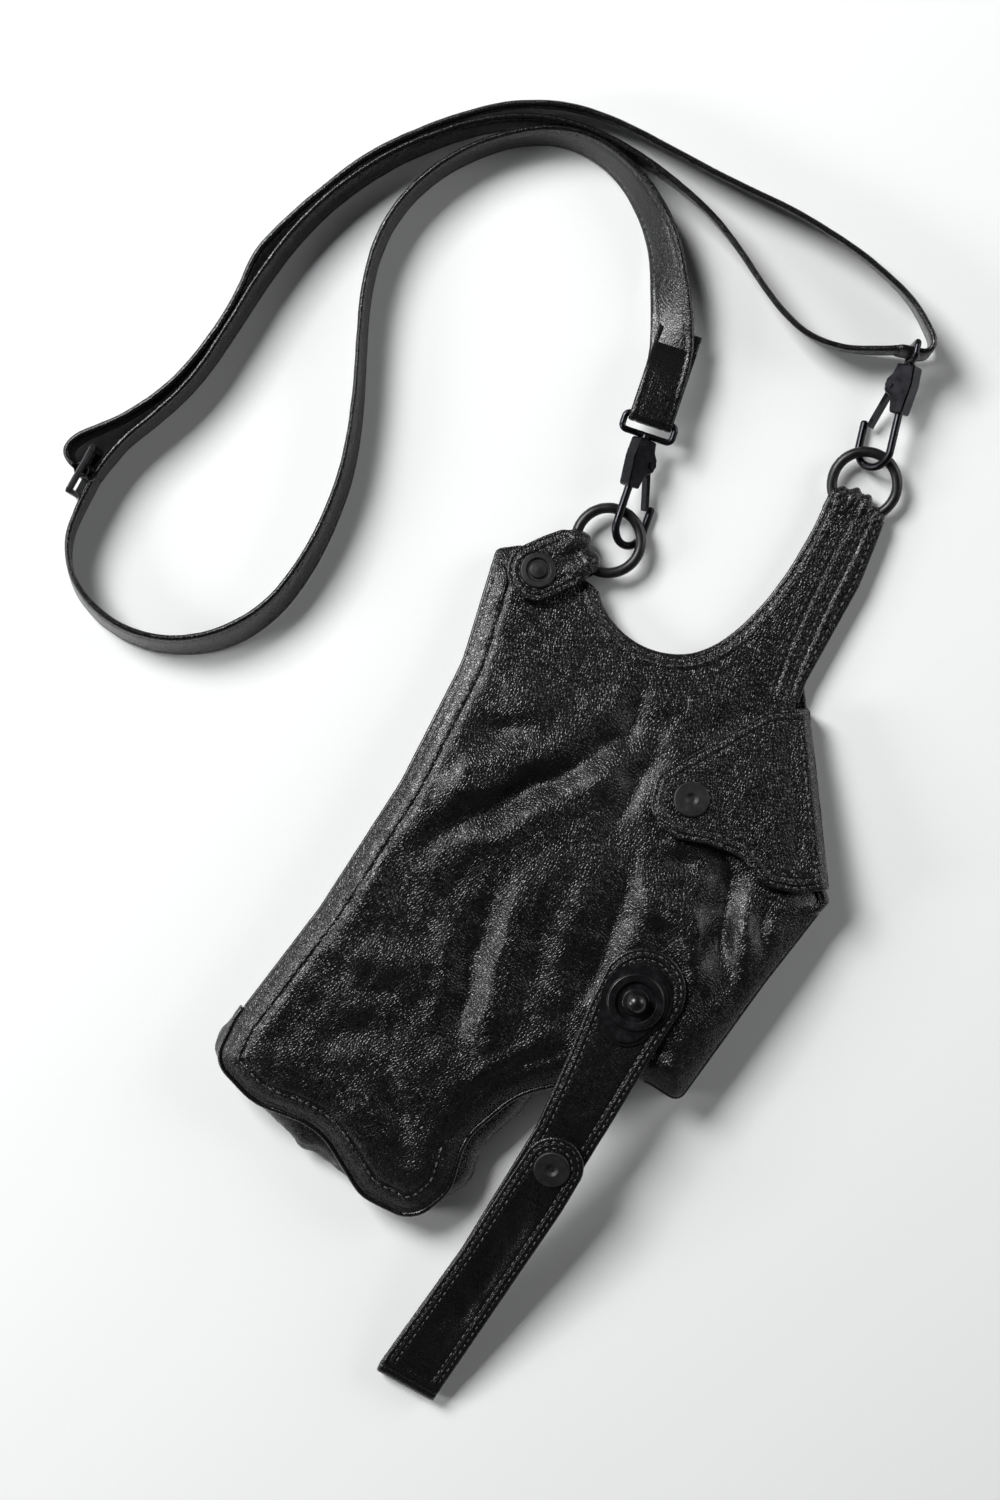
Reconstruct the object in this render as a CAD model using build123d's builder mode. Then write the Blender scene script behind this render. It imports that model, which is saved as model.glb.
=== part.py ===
"""Holster-shaped leather shoulder bag, lying on its back.

Millimetres.  +Z is up, +Y runs from the tip of the hanging strap to the rings, and the origin is the
centre of the bag's footprint on the table.  The shoulder strap lies on the same table to the left.
"""
from build123d import *
import os
from math import atan, cos, radians, sin, tan

os.makedirs("parts", exist_ok=True)

# ---------------------------------------------------------------- driving dimensions
# The cutting pattern was drawn at this width and length; the bag is made at the second pair.
PATTERN_WIDTH = 184.0
PATTERN_LENGTH = 341.0
BAG_WIDTH = 184.0
BAG_LENGTH = 341.0

# Height of the outer face of the front panel above the table.
TIP_DEPTH = 18.0
BAG_DEPTH = 26.0
NECK_DEPTH = 9.2

LEATHER = 1.6
LINING = 0.6
WALL = 2.0
PIPING = 2.4
LEAF_GAP = 2.6
HINGE_GAP = 0.3
FLAP_SPINE = 1.6

SNAP_CAP_DIAMETER = 14.5
SNAP_CAP_THICKNESS = 1.3
SNAP_POST_DIAMETER = 3.0
SNAP_STUD_DIAMETER = 4.0
SNAP_FLANGE_DIAMETER = 10.0
SNAP_FLANGE_THICKNESS = 0.6
SNAP_WASHER_DIAMETER = 8.0
SNAP_FIT = 0.10
POST_FIT = 0.05

RING_WIRE = 4.3
RING_MIDDLE_DIAMETER = 26.2
RING_ROOM = 1.6

BUTTON_POST_DIAMETER = 5.0
BUTTON_BALL_DIAMETER = 8.4
BUTTON_WASHER_DIAMETER = 12.0
BUTTON_FIT = 0.10

HANGER_THICKNESS = 2.0
HANGER_LIFT = 0.3

STRAP_WIDTH = 18.0
STRAP_THICKNESS = 2.4
STRAP_FLOOR_GAP = 0.4

HOOK_WIRE = 3.2
HOOK_SPREAD = 15.0
HOOK_TILT = 39.5
HOOK_TIP_RISE = 11.0
HOOK_ROOM = 0.7
BARREL_LENGTH = 20.0
BARREL_THICKNESS = 6.4
EYE_WIRE = 2.6
EYE_INNER_WIDTH = 18.4
EYE_PITCH = 7.0
SWIVEL_SHANK = 3.4
SWIVEL_HEAD = 5.0
SWIVEL_FIT = 0.10
GATE_WIDTH = 3.0
GATE_THICKNESS = 1.8
GATE_PIN = 1.8
GATE_FIT = 0.05
GATE_ROOM = 0.25

SLIDER_LENGTH = 22.0
SLIDER_BAR = 2.4
SLIDER_HEIGHT = 23.2
SLIDER_FOLD = 1.8

TALL = 60.0
WIDE = 240.0

# ---------------------------------------------------------------- pattern, slope and small helpers
SCALE_X = BAG_WIDTH / PATTERN_WIDTH
SCALE_Y = BAG_LENGTH / PATTERN_LENGTH
UP = (0, 0, 1)


def at(x, y):
    """A point of the cutting pattern, on the bag as it is made."""
    return (x * SCALE_X, y * SCALE_Y)


# The front panel rises from the tip, runs level over the belly and falls to the flat neck.
TIP_Y = at(0, -160)[1]
BELLY_START = at(0, -125)[1]
BELLY_END = at(0, 5)[1]
NECK_START = at(0, 112)[1]
NECK_END = at(0, 215)[1]
FRONT_LINE = [
    (TIP_Y, TIP_DEPTH),
    (BELLY_START, BAG_DEPTH),
    (BELLY_END, BAG_DEPTH),
    (NECK_START, NECK_DEPTH),
    (NECK_END, NECK_DEPTH),
]
SHOULDER_SLOPE = atan((BAG_DEPTH - NECK_DEPTH) / (NECK_START - BELLY_END))


def shoulder_height(y):
    """Height of the sloping shoulder of the front panel, whose plane also carries flap and tab."""
    return BAG_DEPTH - (y - BELLY_END) * tan(SHOULDER_SLOPE)


def shoulder_plane(x, y, lift=0.0):
    """Plane on the shoulder slope, lifted square to it."""
    here = Plane(
        origin=(x, y, shoulder_height(y)),
        x_dir=(1, 0, 0),
        z_dir=(0, sin(SHOULDER_SLOPE), cos(SHOULDER_SLOPE)),
    )
    return here.offset(lift)


def rounded(corners):
    """Closed outline from (x, y, corner radius) corners."""
    with BuildSketch() as shape:
        with BuildLine():
            FilletPolyline([(x, y) for x, y, r in corners], radius=[r for x, y, r in corners], close=True)
        make_face()
    return shape.sketch


def pattern(corners):
    """Closed outline given in pattern coordinates."""
    return rounded([(*at(x, y), r) for x, y, r in corners])


def band(line, low, high):
    """Solid between two heights above a side-view line, over the whole width."""
    lower = [(y, z + low) for y, z in line]
    upper = [(y, z + high) for y, z in reversed(line)]
    with BuildPart() as solid:
        with BuildSketch(Plane.YZ):
            with BuildLine():
                Polyline(*lower, *upper, close=True)
            make_face()
        extrude(amount=WIDE, both=True)
    return solid.part


def side_of(plane):
    """Plane through the same point whose second axis is the first plane's normal."""
    return Plane(origin=plane.origin, x_dir=plane.x_dir, z_dir=-plane.y_dir)


def turned(plane, corners):
    """Turned piece standing on a plane, from (radius, height, corner radius) corners."""
    with BuildPart() as solid:
        with BuildSketch(side_of(plane)):
            add(rounded(corners))
        revolve(axis=Axis(plane.origin, plane.z_dir))
    return solid.part


def save(builder, name):
    """Label a finished piece and write it."""
    builder.part.label = name
    export_step(builder.part, f"parts/{name}.step")


# ---------------------------------------------------------------- outlines of the bag
FOLD_TOP = at(50.5, 107)
FOLD_LOW = at(91.5, 47)
FOLD_RUN = Vector(FOLD_LOW[0] - FOLD_TOP[0], FOLD_LOW[1] - FOLD_TOP[1])
FOLD_ALONG = FOLD_RUN.normalized()
FOLD_INWARD = Vector(FOLD_ALONG.Y, -FOLD_ALONG.X)

LEFT_AND_BOTTOM = [
    (-48, 108, 5), (-60, 109, 6), (-82, 108, 3), (-90, 102, 2), (-80, 56, 60), (-78, 2, 60),
    (-82, -58, 60), (-90, -112, 8), (-89, -131, 7), (-68, -137, 14), (-40, -134, 16), (-12, -149, 10),
    (9, -149, 8), (17, -132, 10), (12, -110, 16), (22, -84, 24), (38, -70, 16), (64, -55, 12),
    (80, -56, 4), (87, 2, 60), (93.5, 40, 4),
]
ARM_AND_NOTCH = [
    (44, 116, 10), (44, 160, 10), (42, 176, 8), (40, 190, 1), (16, 190, 1), (17.5, 160, 30),
    (11, 118, 24), (-4, 98, 14), (-24, 95, 14),
]
BODY = pattern(LEFT_AND_BOTTOM + [(86, 44.5, 2), (46, 103, 6)] + ARM_AND_NOTCH)
BACK = pattern(LEFT_AND_BOTTOM + [(91.5, 47, 1), (50.5, 107, 2)] + ARM_AND_NOTCH)

with BuildSketch() as body_inset:
    add(BODY)
    offset(amount=-WALL, mode=Mode.REPLACE)

with BuildSketch() as rim:
    add(BODY)
    add(body_inset.sketch, mode=Mode.SUBTRACT)

with BuildSketch() as piping_rim:
    add(BODY)
    offset(amount=PIPING, mode=Mode.REPLACE)
    add(BODY, mode=Mode.SUBTRACT)

front_skin = band(FRONT_LINE, -LEATHER, 0)
front_lining_skin = band(FRONT_LINE, -LEATHER - LINING, -LEATHER)
piping_skin = band(FRONT_LINE, -LEATHER - PIPING, -LEATHER)
with BuildPart() as room_inside:
    with BuildSketch(Plane.YZ):
        with BuildLine():
            Polyline(
                (TIP_Y, LEATHER),
                (NECK_END, LEATHER),
                *[(y, z - LEATHER) for y, z in reversed(FRONT_LINE)],
                close=True,
            )
        make_face()
    extrude(amount=WIDE, both=True)

# ---------------------------------------------------------------- where the fittings sit
FLAP_SNAP = shoulder_plane(*at(26, 51))
TAB_SNAP = shoulder_plane(*at(-71.5, 101.5))
BUTTON = Plane(origin=(*at(45, -29), BAG_DEPTH))
SLANT = cos(SHOULDER_SLOPE)


def drill(plane, diameter):
    """Round hole straight through whatever lies on a plane."""
    with BuildSketch(plane) as hole:
        Circle(diameter / 2)
    extrude(hole.sketch, amount=HOLE_REACH, both=True, mode=Mode.SUBTRACT)


HOLE_REACH = LEATHER + LINING + LEAF_GAP

# ---------------------------------------------------------------- panels, lining and walls
with BuildPart() as back_panel:
    with BuildSketch():
        add(BACK)
    extrude(amount=LEATHER)
save(back_panel, "back_panel")

with BuildPart() as front_panel:
    with BuildSketch():
        add(BODY)
    extrude(amount=TALL)
    add(front_skin, mode=Mode.INTERSECT)
    drill(FLAP_SNAP, SNAP_POST_DIAMETER + 2 * POST_FIT)
    drill(TAB_SNAP, SNAP_POST_DIAMETER + 2 * POST_FIT)
    drill(BUTTON, BUTTON_POST_DIAMETER + 2 * BUTTON_FIT)
save(front_panel, "front_panel")

LINING_OUTLINE = pattern([
    (-74, 84, 4), (-70, 20, 60), (-71, -30, 60), (-80, -100, 8), (-79, -122, 6), (-42, -125, 10),
    (-14, -138, 6), (4, -138, 5), (7, -126, 8), (4, -106, 12), (14, -82, 20), (34, -60, 14),
    (62, -46, 10), (74, -46, 4), (78, 0, 40), (82, 36, 4), (42, 94, 8), (30, 120, 8), (14, 100, 14),
    (-4, 88, 12), (-24, 86, 12),
])

with BuildPart() as front_lining:
    with BuildSketch():
        add(LINING_OUTLINE)
    extrude(amount=TALL)
    add(front_lining_skin, mode=Mode.INTERSECT)
    drill(FLAP_SNAP, SNAP_POST_DIAMETER + 2 * POST_FIT)
    drill(BUTTON, BUTTON_POST_DIAMETER + 2 * BUTTON_FIT)
save(front_lining, "front_lining")

with BuildPart() as back_lining:
    with BuildSketch(Plane.XY.offset(LEATHER)):
        add(LINING_OUTLINE)
    extrude(amount=LINING)
save(back_lining, "back_lining")

# Each wall stands between the two panels along its own stretch of the rim: two opposite corners.
WALL_STRETCHES = {
    "left_gusset": ((-100, -112), (-60, 96)),
    "bottom_gusset": ((-100, -160), (4, -112)),
    "notch_gusset": ((4, -160), (74, -48)),
    "right_gusset": ((74, -64), (98, 38)),
    "top_facing": ((-50, 84), (24, 177)),
    "arm_seam": ((38, 114), (50, 174)),
}
for wall_name, (low_corner, high_corner) in WALL_STRETCHES.items():
    x0, y0 = at(*low_corner)
    x1, y1 = at(*high_corner)
    with BuildPart() as wall:
        with BuildSketch():
            add(rim.sketch)
            with Locations(((x0 + x1) / 2, (y0 + y1) / 2)):
                Rectangle(x1 - x0, y1 - y0, mode=Mode.INTERSECT)
        extrude(amount=TALL)
        add(room_inside.part, mode=Mode.INTERSECT)
    save(wall, wall_name)

with BuildPart() as bottom_piping:
    with BuildSketch():
        add(piping_rim.sketch)
        with Locations(at(-32, -116)):
            Rectangle(124 * SCALE_X, 76 * SCALE_Y, mode=Mode.INTERSECT)
    extrude(amount=TALL)
    add(piping_skin, mode=Mode.INTERSECT)
save(bottom_piping, "bottom_piping")

# ---------------------------------------------------------------- arm loop and right ring
ARM_RING_X = at(26.7, 0)[0]
ARM_LOOP_Y = at(0, 190)[1]
ARM_LOOP_WIDTH = 17.0
RING_RADIUS = RING_MIDDLE_DIAMETER / 2
RIGHT_RING_TILT = atan(3.2 / RING_MIDDLE_DIAMETER)
RIGHT_RING_NEAR_Y = ARM_LOOP_Y - 6.0
RIGHT_RING_NEAR_Z = NECK_DEPTH / 2 - 0.3

with BuildPart() as arm_loop:
    loop_plane = Plane(origin=(ARM_RING_X, ARM_LOOP_Y, NECK_DEPTH / 2), x_dir=(0, 1, 0), z_dir=(1, 0, 0))
    with BuildSketch(loop_plane):
        Circle(NECK_DEPTH / 2)
        Circle(NECK_DEPTH / 2 - LEATHER, mode=Mode.SUBTRACT)
        with Locations((-NECK_DEPTH / 2, 0)):
            Rectangle(NECK_DEPTH, 2 * NECK_DEPTH, mode=Mode.SUBTRACT)
    extrude(amount=ARM_LOOP_WIDTH / 2, both=True)
save(arm_loop, "arm_loop")

right_ring_plane = Plane(
    origin=(
        ARM_RING_X,
        RIGHT_RING_NEAR_Y + RING_RADIUS * cos(RIGHT_RING_TILT),
        RIGHT_RING_NEAR_Z + RING_RADIUS * sin(RIGHT_RING_TILT),
    ),
    x_dir=(1, 0, 0),
    z_dir=(0, -sin(RIGHT_RING_TILT), cos(RIGHT_RING_TILT)),
)
with BuildPart(right_ring_plane) as ring_right:
    Torus(RING_RADIUS, RING_WIRE / 2)
save(ring_right, "ring_right")

# ---------------------------------------------------------------- tab folded round the left ring
TAB_HEADING = 54.0
TAB_END_RADIUS = 12.5
TAB_LOOP_WIDTH = 14.0
TAB_REACH = 20.1
TAB_CROSSING = 18.9
TAB_BEND_INNER = (RING_WIRE + 2 * RING_ROOM) / 2
TAB_BEND_OUTER = TAB_BEND_INNER + LEATHER
TAB_TOP = LEAF_GAP + LEATHER
TAB_MIDDLE = TAB_TOP - TAB_BEND_OUTER

tab_plane = Plane(
    origin=TAB_SNAP.origin,
    x_dir=TAB_SNAP.x_dir * cos(radians(TAB_HEADING)) + TAB_SNAP.y_dir * sin(radians(TAB_HEADING)),
    z_dir=TAB_SNAP.z_dir,
)


def strip(start, end, start_width, end_width, end_radius):
    """Strap outline along local x, with a round start and a tapering end."""
    with BuildSketch() as shape:
        with BuildLine():
            Polyline(
                (start, -start_width / 2),
                (end, -end_width / 2),
                (end, end_width / 2),
                (start, start_width / 2),
                close=True,
            )
        make_face()
        if end_radius > 0:
            with Locations((start, 0)):
                Circle(end_radius)
    return shape.sketch


with BuildPart() as tab_leaf:
    with BuildSketch(tab_plane.offset(LEAF_GAP)):
        add(strip(0, TAB_REACH - HINGE_GAP, 2 * TAB_END_RADIUS, TAB_LOOP_WIDTH, TAB_END_RADIUS))
    extrude(amount=LEATHER)
    drill(TAB_SNAP.offset(LEAF_GAP), SNAP_POST_DIAMETER + 2 * POST_FIT)
save(tab_leaf, "tab_leaf")

with BuildPart() as tab_base:
    bend_plane = Plane(
        origin=tab_plane.from_local_coords((TAB_REACH, 0, TAB_MIDDLE)),
        x_dir=tab_plane.x_dir,
        z_dir=tab_plane.y_dir,
    )
    with BuildSketch(bend_plane):
        Circle(TAB_BEND_OUTER)
        Circle(TAB_BEND_INNER, mode=Mode.SUBTRACT)
        with Locations((-TAB_BEND_OUTER, 0)):
            Rectangle(2 * TAB_BEND_OUTER, 4 * TAB_BEND_OUTER, mode=Mode.SUBTRACT)
    extrude(amount=TAB_LOOP_WIDTH / 2, both=True)
    with BuildSketch(tab_plane.offset(TAB_MIDDLE - TAB_BEND_OUTER)):
        add(strip(4.6, TAB_REACH, 1.8 * TAB_END_RADIUS, TAB_LOOP_WIDTH, 0))
    extrude(amount=LEATHER)
    with BuildSketch(tab_plane.offset(TAB_MIDDLE - TAB_BEND_OUTER)):
        add(strip(4.6, 7.6, 1.8 * TAB_END_RADIUS, 1.7 * TAB_END_RADIUS, 0))
    extrude(amount=TAB_BEND_OUTER - TAB_MIDDLE - LEATHER)
save(tab_base, "tab_base")

left_ring_near = tab_plane.from_local_coords((TAB_CROSSING, 0, TAB_MIDDLE))
tab_course = Vector(cos(radians(TAB_HEADING)), sin(radians(TAB_HEADING)))
left_ring_plane = Plane(origin=left_ring_near + tab_course * RING_RADIUS)
with BuildPart(left_ring_plane) as ring_left:
    Torus(RING_RADIUS, RING_WIRE / 2)
save(ring_left, "ring_left")

# ---------------------------------------------------------------- flap over the mouth
FLAP_OUTLINE = pattern([
    (50.5, 107, 1), (91.5, 47, 1), (80, 39, 12), (68, 35.5, 10), (54, 41, 12), (40, 39, 10),
    (26, 34, 12), (13, 40, 10), (9, 54, 10), (19, 70, 12), (36, 98, 14),
])
shoulder_band = [(y, shoulder_height(y)) for y in (BELLY_END, NECK_START)]
leaf_low = LEAF_GAP / SLANT
leaf_high = (LEAF_GAP + LEATHER) / SLANT
flap_skin = band(shoulder_band, leaf_low + LINING, leaf_high)
flap_lining_skin = band(shoulder_band, leaf_low, leaf_low + LINING)
under_flap = band(shoulder_band, -TALL, leaf_low - HINGE_GAP)

with BuildPart() as flap_leaf:
    with BuildSketch():
        add(FLAP_OUTLINE)
    extrude(amount=TALL)
    add(flap_skin, mode=Mode.INTERSECT)
    drill(FLAP_SNAP.offset(LEAF_GAP), SNAP_POST_DIAMETER + 2 * POST_FIT)
save(flap_leaf, "flap_leaf")

with BuildPart() as flap_lining:
    with BuildSketch():
        add(FLAP_OUTLINE)
    extrude(amount=TALL)
    add(flap_lining_skin, mode=Mode.INTERSECT)
    drill(FLAP_SNAP.offset(LEAF_GAP), SNAP_POST_DIAMETER + 2 * POST_FIT)
save(flap_lining, "flap_lining")

spine_middle = Vector(*FOLD_TOP) + FOLD_RUN * 0.5 + FOLD_INWARD * (FLAP_SPINE / 2)
spine_plane = Plane(
    origin=(spine_middle.X, spine_middle.Y, LEATHER + HINGE_GAP),
    x_dir=(FOLD_ALONG.X, FOLD_ALONG.Y, 0),
    z_dir=UP,
)
with BuildPart() as flap_spine:
    with BuildSketch(spine_plane):
        Rectangle(FOLD_RUN.length - 2.0, FLAP_SPINE)
    extrude(amount=TALL)
    add(under_flap, mode=Mode.INTERSECT)
save(flap_spine, "flap_spine")

# ---------------------------------------------------------------- press snaps
STUD_TOP = 2.0
SOCKET_LOW = 0.9
SOCKET_ROOF = 0.3
STUD_WASHER = 0.6


def snap_stud(plane, grip):
    """Stud on the lower layer: washer inside, post through the leather, flange and head outside."""
    post = SNAP_POST_DIAMETER / 2
    head = SNAP_STUD_DIAMETER / 2
    return turned(plane, [
        (0, -grip - STUD_WASHER, 0),
        (SNAP_WASHER_DIAMETER / 2, -grip - STUD_WASHER, 0),
        (SNAP_WASHER_DIAMETER / 2, -grip, 0),
        (post, -grip, 0),
        (post, 0, 0),
        (SNAP_FLANGE_DIAMETER / 2, 0, 0),
        (SNAP_FLANGE_DIAMETER / 2, SNAP_FLANGE_THICKNESS, 0),
        (head, SNAP_FLANGE_THICKNESS, 0),
        (head, STUD_TOP, 0.5),
        (0, STUD_TOP, 0),
    ])


def snap_socket(plane):
    """Socket under the upper layer, gripping the stud."""
    bore = SNAP_STUD_DIAMETER / 2 + SNAP_FIT
    post = SNAP_POST_DIAMETER / 2 + POST_FIT
    rim_radius = SNAP_FLANGE_DIAMETER / 2
    return turned(plane, [
        (bore, SOCKET_LOW, 0),
        (rim_radius, SOCKET_LOW, 0.3),
        (rim_radius, LEAF_GAP, 0),
        (post, LEAF_GAP, 0),
        (post, LEAF_GAP - SOCKET_ROOF, 0),
        (bore, LEAF_GAP - SOCKET_ROOF, 0),
    ])


def snap_cap(plane, layer, face):
    """Cap over the upper layer with its post; face is the outline of its top from rim to middle."""
    post = SNAP_POST_DIAMETER / 2
    seat = LEAF_GAP + layer
    rim_radius = SNAP_CAP_DIAMETER / 2
    return turned(plane, [
        (0, LEAF_GAP - SOCKET_ROOF, 0),
        (post, LEAF_GAP - SOCKET_ROOF, 0),
        (post, seat, 0),
        (rim_radius, seat, 0.3),
        *[(radius, seat + height, corner) for radius, height, corner in face],
    ])


DIMPLED_FACE = [
    (SNAP_CAP_DIAMETER / 2, SNAP_CAP_THICKNESS, 0.7),
    (2.6, SNAP_CAP_THICKNESS, 0.5),
    (1.2, 0.5, 0.3),
    (0, 0.5, 0),
]
RING_AND_DOME_FACE = [
    (SNAP_CAP_DIAMETER / 2, SNAP_CAP_THICKNESS, 0.7),
    (5.0, SNAP_CAP_THICKNESS + 0.2, 0.4),
    (4.4, 0.5, 0.2),
    (3.5, 0.5, 0.2),
    (3.3, 1.5, 0.6),
    (0, 1.9, 0),
]

hanger_slope_start = at(0, -79)[1]
hanger_end_y = at(0, -208)[1]
hanger_end_z = 1.2
hanger_low = BAG_DEPTH + HANGER_LIFT
HANGER_LINE = [(at(0, 0)[1], hanger_low), (hanger_slope_start, hanger_low), (hanger_end_y, hanger_end_z)]
HANGER_SLOPE = atan((hanger_low - hanger_end_z) / (hanger_slope_start - hanger_end_y))
hanger_snap_y = at(0, -102)[1]
HANGER_SNAP = Plane(
    origin=(
        at(48.2, 0)[0],
        hanger_snap_y,
        hanger_low + (hanger_snap_y - hanger_slope_start) * tan(HANGER_SLOPE) + HANGER_THICKNESS,
    ),
    x_dir=(1, 0, 0),
    z_dir=(0, -sin(HANGER_SLOPE), cos(HANGER_SLOPE)),
)

SNAPS = {
    "flap_snap": (FLAP_SNAP, (LEATHER + LINING) * SLANT, LEATHER, DIMPLED_FACE),
    "tab_snap": (TAB_SNAP, LEATHER * SLANT, LEATHER, RING_AND_DOME_FACE),
    "hanger_snap": (HANGER_SNAP, HANGER_THICKNESS * cos(HANGER_SLOPE), HANGER_THICKNESS, DIMPLED_FACE),
}
for snap_name, (plane, grip, layer, face) in SNAPS.items():
    with BuildPart() as stud:
        add(snap_stud(plane, grip))
    save(stud, f"{snap_name}_stud")
    with BuildPart() as socket:
        add(snap_socket(plane))
    save(socket, f"{snap_name}_socket")
    with BuildPart() as cap:
        add(snap_cap(plane, layer, face))
    save(cap, f"{snap_name}_cap")

# ---------------------------------------------------------------- hanging strap
head_x, head_y = at(45.6, -24)
HEAD_RADIUS = 17.2
HANGER_EDGES = pattern([
    (28.6, -24, 0), (32, -60, 20), (34.8, -92, 30), (33.2, -150, 40), (27.6, -208, 0), (53.6, -208, 0),
    (58.6, -138, 30), (59.8, -84, 30), (62.6, -24, 0),
])
LEAF_EDGES = pattern([
    (36, -102, 0), (34.6, -118, 20), (33.2, -150, 40), (27.7, -207, 0), (53.7, -207, 0), (58.6, -138, 30),
    (60.4, -102, 0),
])
hanger_skin = band(HANGER_LINE, 0, HANGER_THICKNESS)
leaf_lift = HANGER_THICKNESS + LEAF_GAP / cos(HANGER_SLOPE)
leaf_skin = band(HANGER_LINE, leaf_lift, leaf_lift + HANGER_THICKNESS)

with BuildPart() as hanger_strap:
    with BuildSketch():
        add(HANGER_EDGES)
        with Locations((head_x, head_y)):
            Circle(HEAD_RADIUS)
    extrude(amount=TALL)
    add(hanger_skin, mode=Mode.INTERSECT)
    drill(BUTTON.offset(HANGER_LIFT), BUTTON_POST_DIAMETER + 2 * BUTTON_FIT)
    drill(HANGER_SNAP, SNAP_POST_DIAMETER + 2 * POST_FIT)
save(hanger_strap, "hanger_strap")

with BuildPart() as hanger_leaf:
    with BuildSketch():
        add(LEAF_EDGES)
        with Locations(at(48.2, -102)):
            Circle(12.2)
    extrude(amount=TALL)
    add(leaf_skin, mode=Mode.INTERSECT)
    drill(HANGER_SNAP.offset(LEAF_GAP), SNAP_POST_DIAMETER + 2 * POST_FIT)
save(hanger_leaf, "hanger_leaf")

fold_inner = LEAF_GAP / cos(HANGER_SLOPE) / 2
fold_outer = fold_inner + HANGER_THICKNESS
with BuildPart() as hanger_fold:
    turn_plane = Plane(
        origin=(at(40.6, 0)[0], hanger_end_y, hanger_end_z + fold_outer),
        x_dir=(0, -1, 0),
        z_dir=(1, 0, 0),
    )
    with BuildSketch(turn_plane):
        Circle(fold_outer)
        Circle(fold_inner, mode=Mode.SUBTRACT)
        with Locations((-fold_outer, 0)):
            Rectangle(2 * fold_outer, 4 * fold_outer, mode=Mode.SUBTRACT)
    extrude(amount=at(13, 0)[0], both=True)
save(hanger_fold, "hanger_fold")

# ---------------------------------------------------------------- stepped button that the strap hangs on
plate_low = HANGER_LIFT + HANGER_THICKNESS
PLATE_STEP = 0.8
PLATE_RADIUS = 14.2
PLATE_TAIL_RADIUS = 11.0
PLATE_TAIL = 7.6


def teardrop(inset):
    """Plate outline round the post with its tail towards the strap."""
    with BuildSketch() as shape:
        with Locations((0, 1)):
            Circle(PLATE_RADIUS - inset)
        with Locations((0, -PLATE_TAIL)):
            Circle(PLATE_TAIL_RADIUS - inset)
        make_hull()
    return shape.sketch


with BuildPart() as button_plate:
    with BuildSketch(BUTTON.offset(plate_low)):
        add(teardrop(0))
    extrude(amount=PLATE_STEP)
    with BuildSketch(BUTTON.offset(plate_low + PLATE_STEP)):
        add(teardrop(1.6))
    extrude(amount=PLATE_STEP)
    drill(BUTTON.offset(plate_low), BUTTON_POST_DIAMETER + 2 * BUTTON_FIT)
save(button_plate, "button_plate")

plate_top = plate_low + 2 * PLATE_STEP
with BuildPart() as button_ring:
    add(turned(BUTTON, [
        (7.4, plate_top, 0),
        (11.8, plate_top, 0.2),
        (11.0, plate_top + 1.4, 0.6),
        (8.2, plate_top + 1.4, 0.5),
    ]))
save(button_ring, "button_ring")

BUTTON_BOSS = 5.8
boss_low = plate_top + BUTTON_FIT
ball_middle = boss_low + 1.2 + 0.42 * BUTTON_BALL_DIAMETER
with BuildPart() as button_ball:
    add(turned(BUTTON, [
        (0, -LEATHER - LINING, 0),
        (BUTTON_POST_DIAMETER / 2, -LEATHER - LINING, 0),
        (BUTTON_POST_DIAMETER / 2, boss_low, 0),
        (BUTTON_BOSS, boss_low, 0.2),
        (BUTTON_BOSS - 0.6, boss_low + 1.0, 0.3),
        (BUTTON_BALL_DIAMETER * 0.36, boss_low + 1.2, 0.3),
        (0, boss_low + 1.2, 0),
    ]))
    with Locations(BUTTON.offset(ball_middle).location):
        Sphere(BUTTON_BALL_DIAMETER / 2)
save(button_ball, "button_ball")

with BuildPart() as button_washer:
    with BuildSketch(BUTTON.offset(-LEATHER - LINING - 1.0)):
        Circle(BUTTON_WASHER_DIAMETER / 2)
    extrude(amount=1.0)
save(button_washer, "button_washer")

# ---------------------------------------------------------------- swivel snap hooks
PIVOT = (5.5, -9.0)
GATE_END = (HOOK_SPREAD - HOOK_WIRE / 2 - GATE_THICKNESS / 2 - 0.4, -26.5)
BEND_CENTRE = -(BARREL_LENGTH + 15.0)
WIRE_SOCKET = 5.0
BARREL_PROFILE = [
    (-4.2, 0, 1.2), (4.2, 0, 1.2), (5.2, -4, 2), (7.6, -6.6, 1.8), (7.6, -11.4, 1.8), (4.0, -14, 2),
    (2.9, -BARREL_LENGTH, 1.2), (-2.9, -BARREL_LENGTH, 1.2), (-4.6, -8, 8),
]


def hook_frame(x, y, z, heading, gate_side):
    """Plane of a hook: second axis towards its eye, first axis towards its gate and sloping down."""
    along = Vector(cos(radians(heading)), sin(radians(heading)), 0)
    aside = Vector(along.Y, -along.X, 0) * gate_side
    first = aside * cos(radians(HOOK_TILT)) - Vector(0, 0, sin(radians(HOOK_TILT)))
    return Plane(origin=(x, y, z), x_dir=first, z_dir=first.cross(along))


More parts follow.
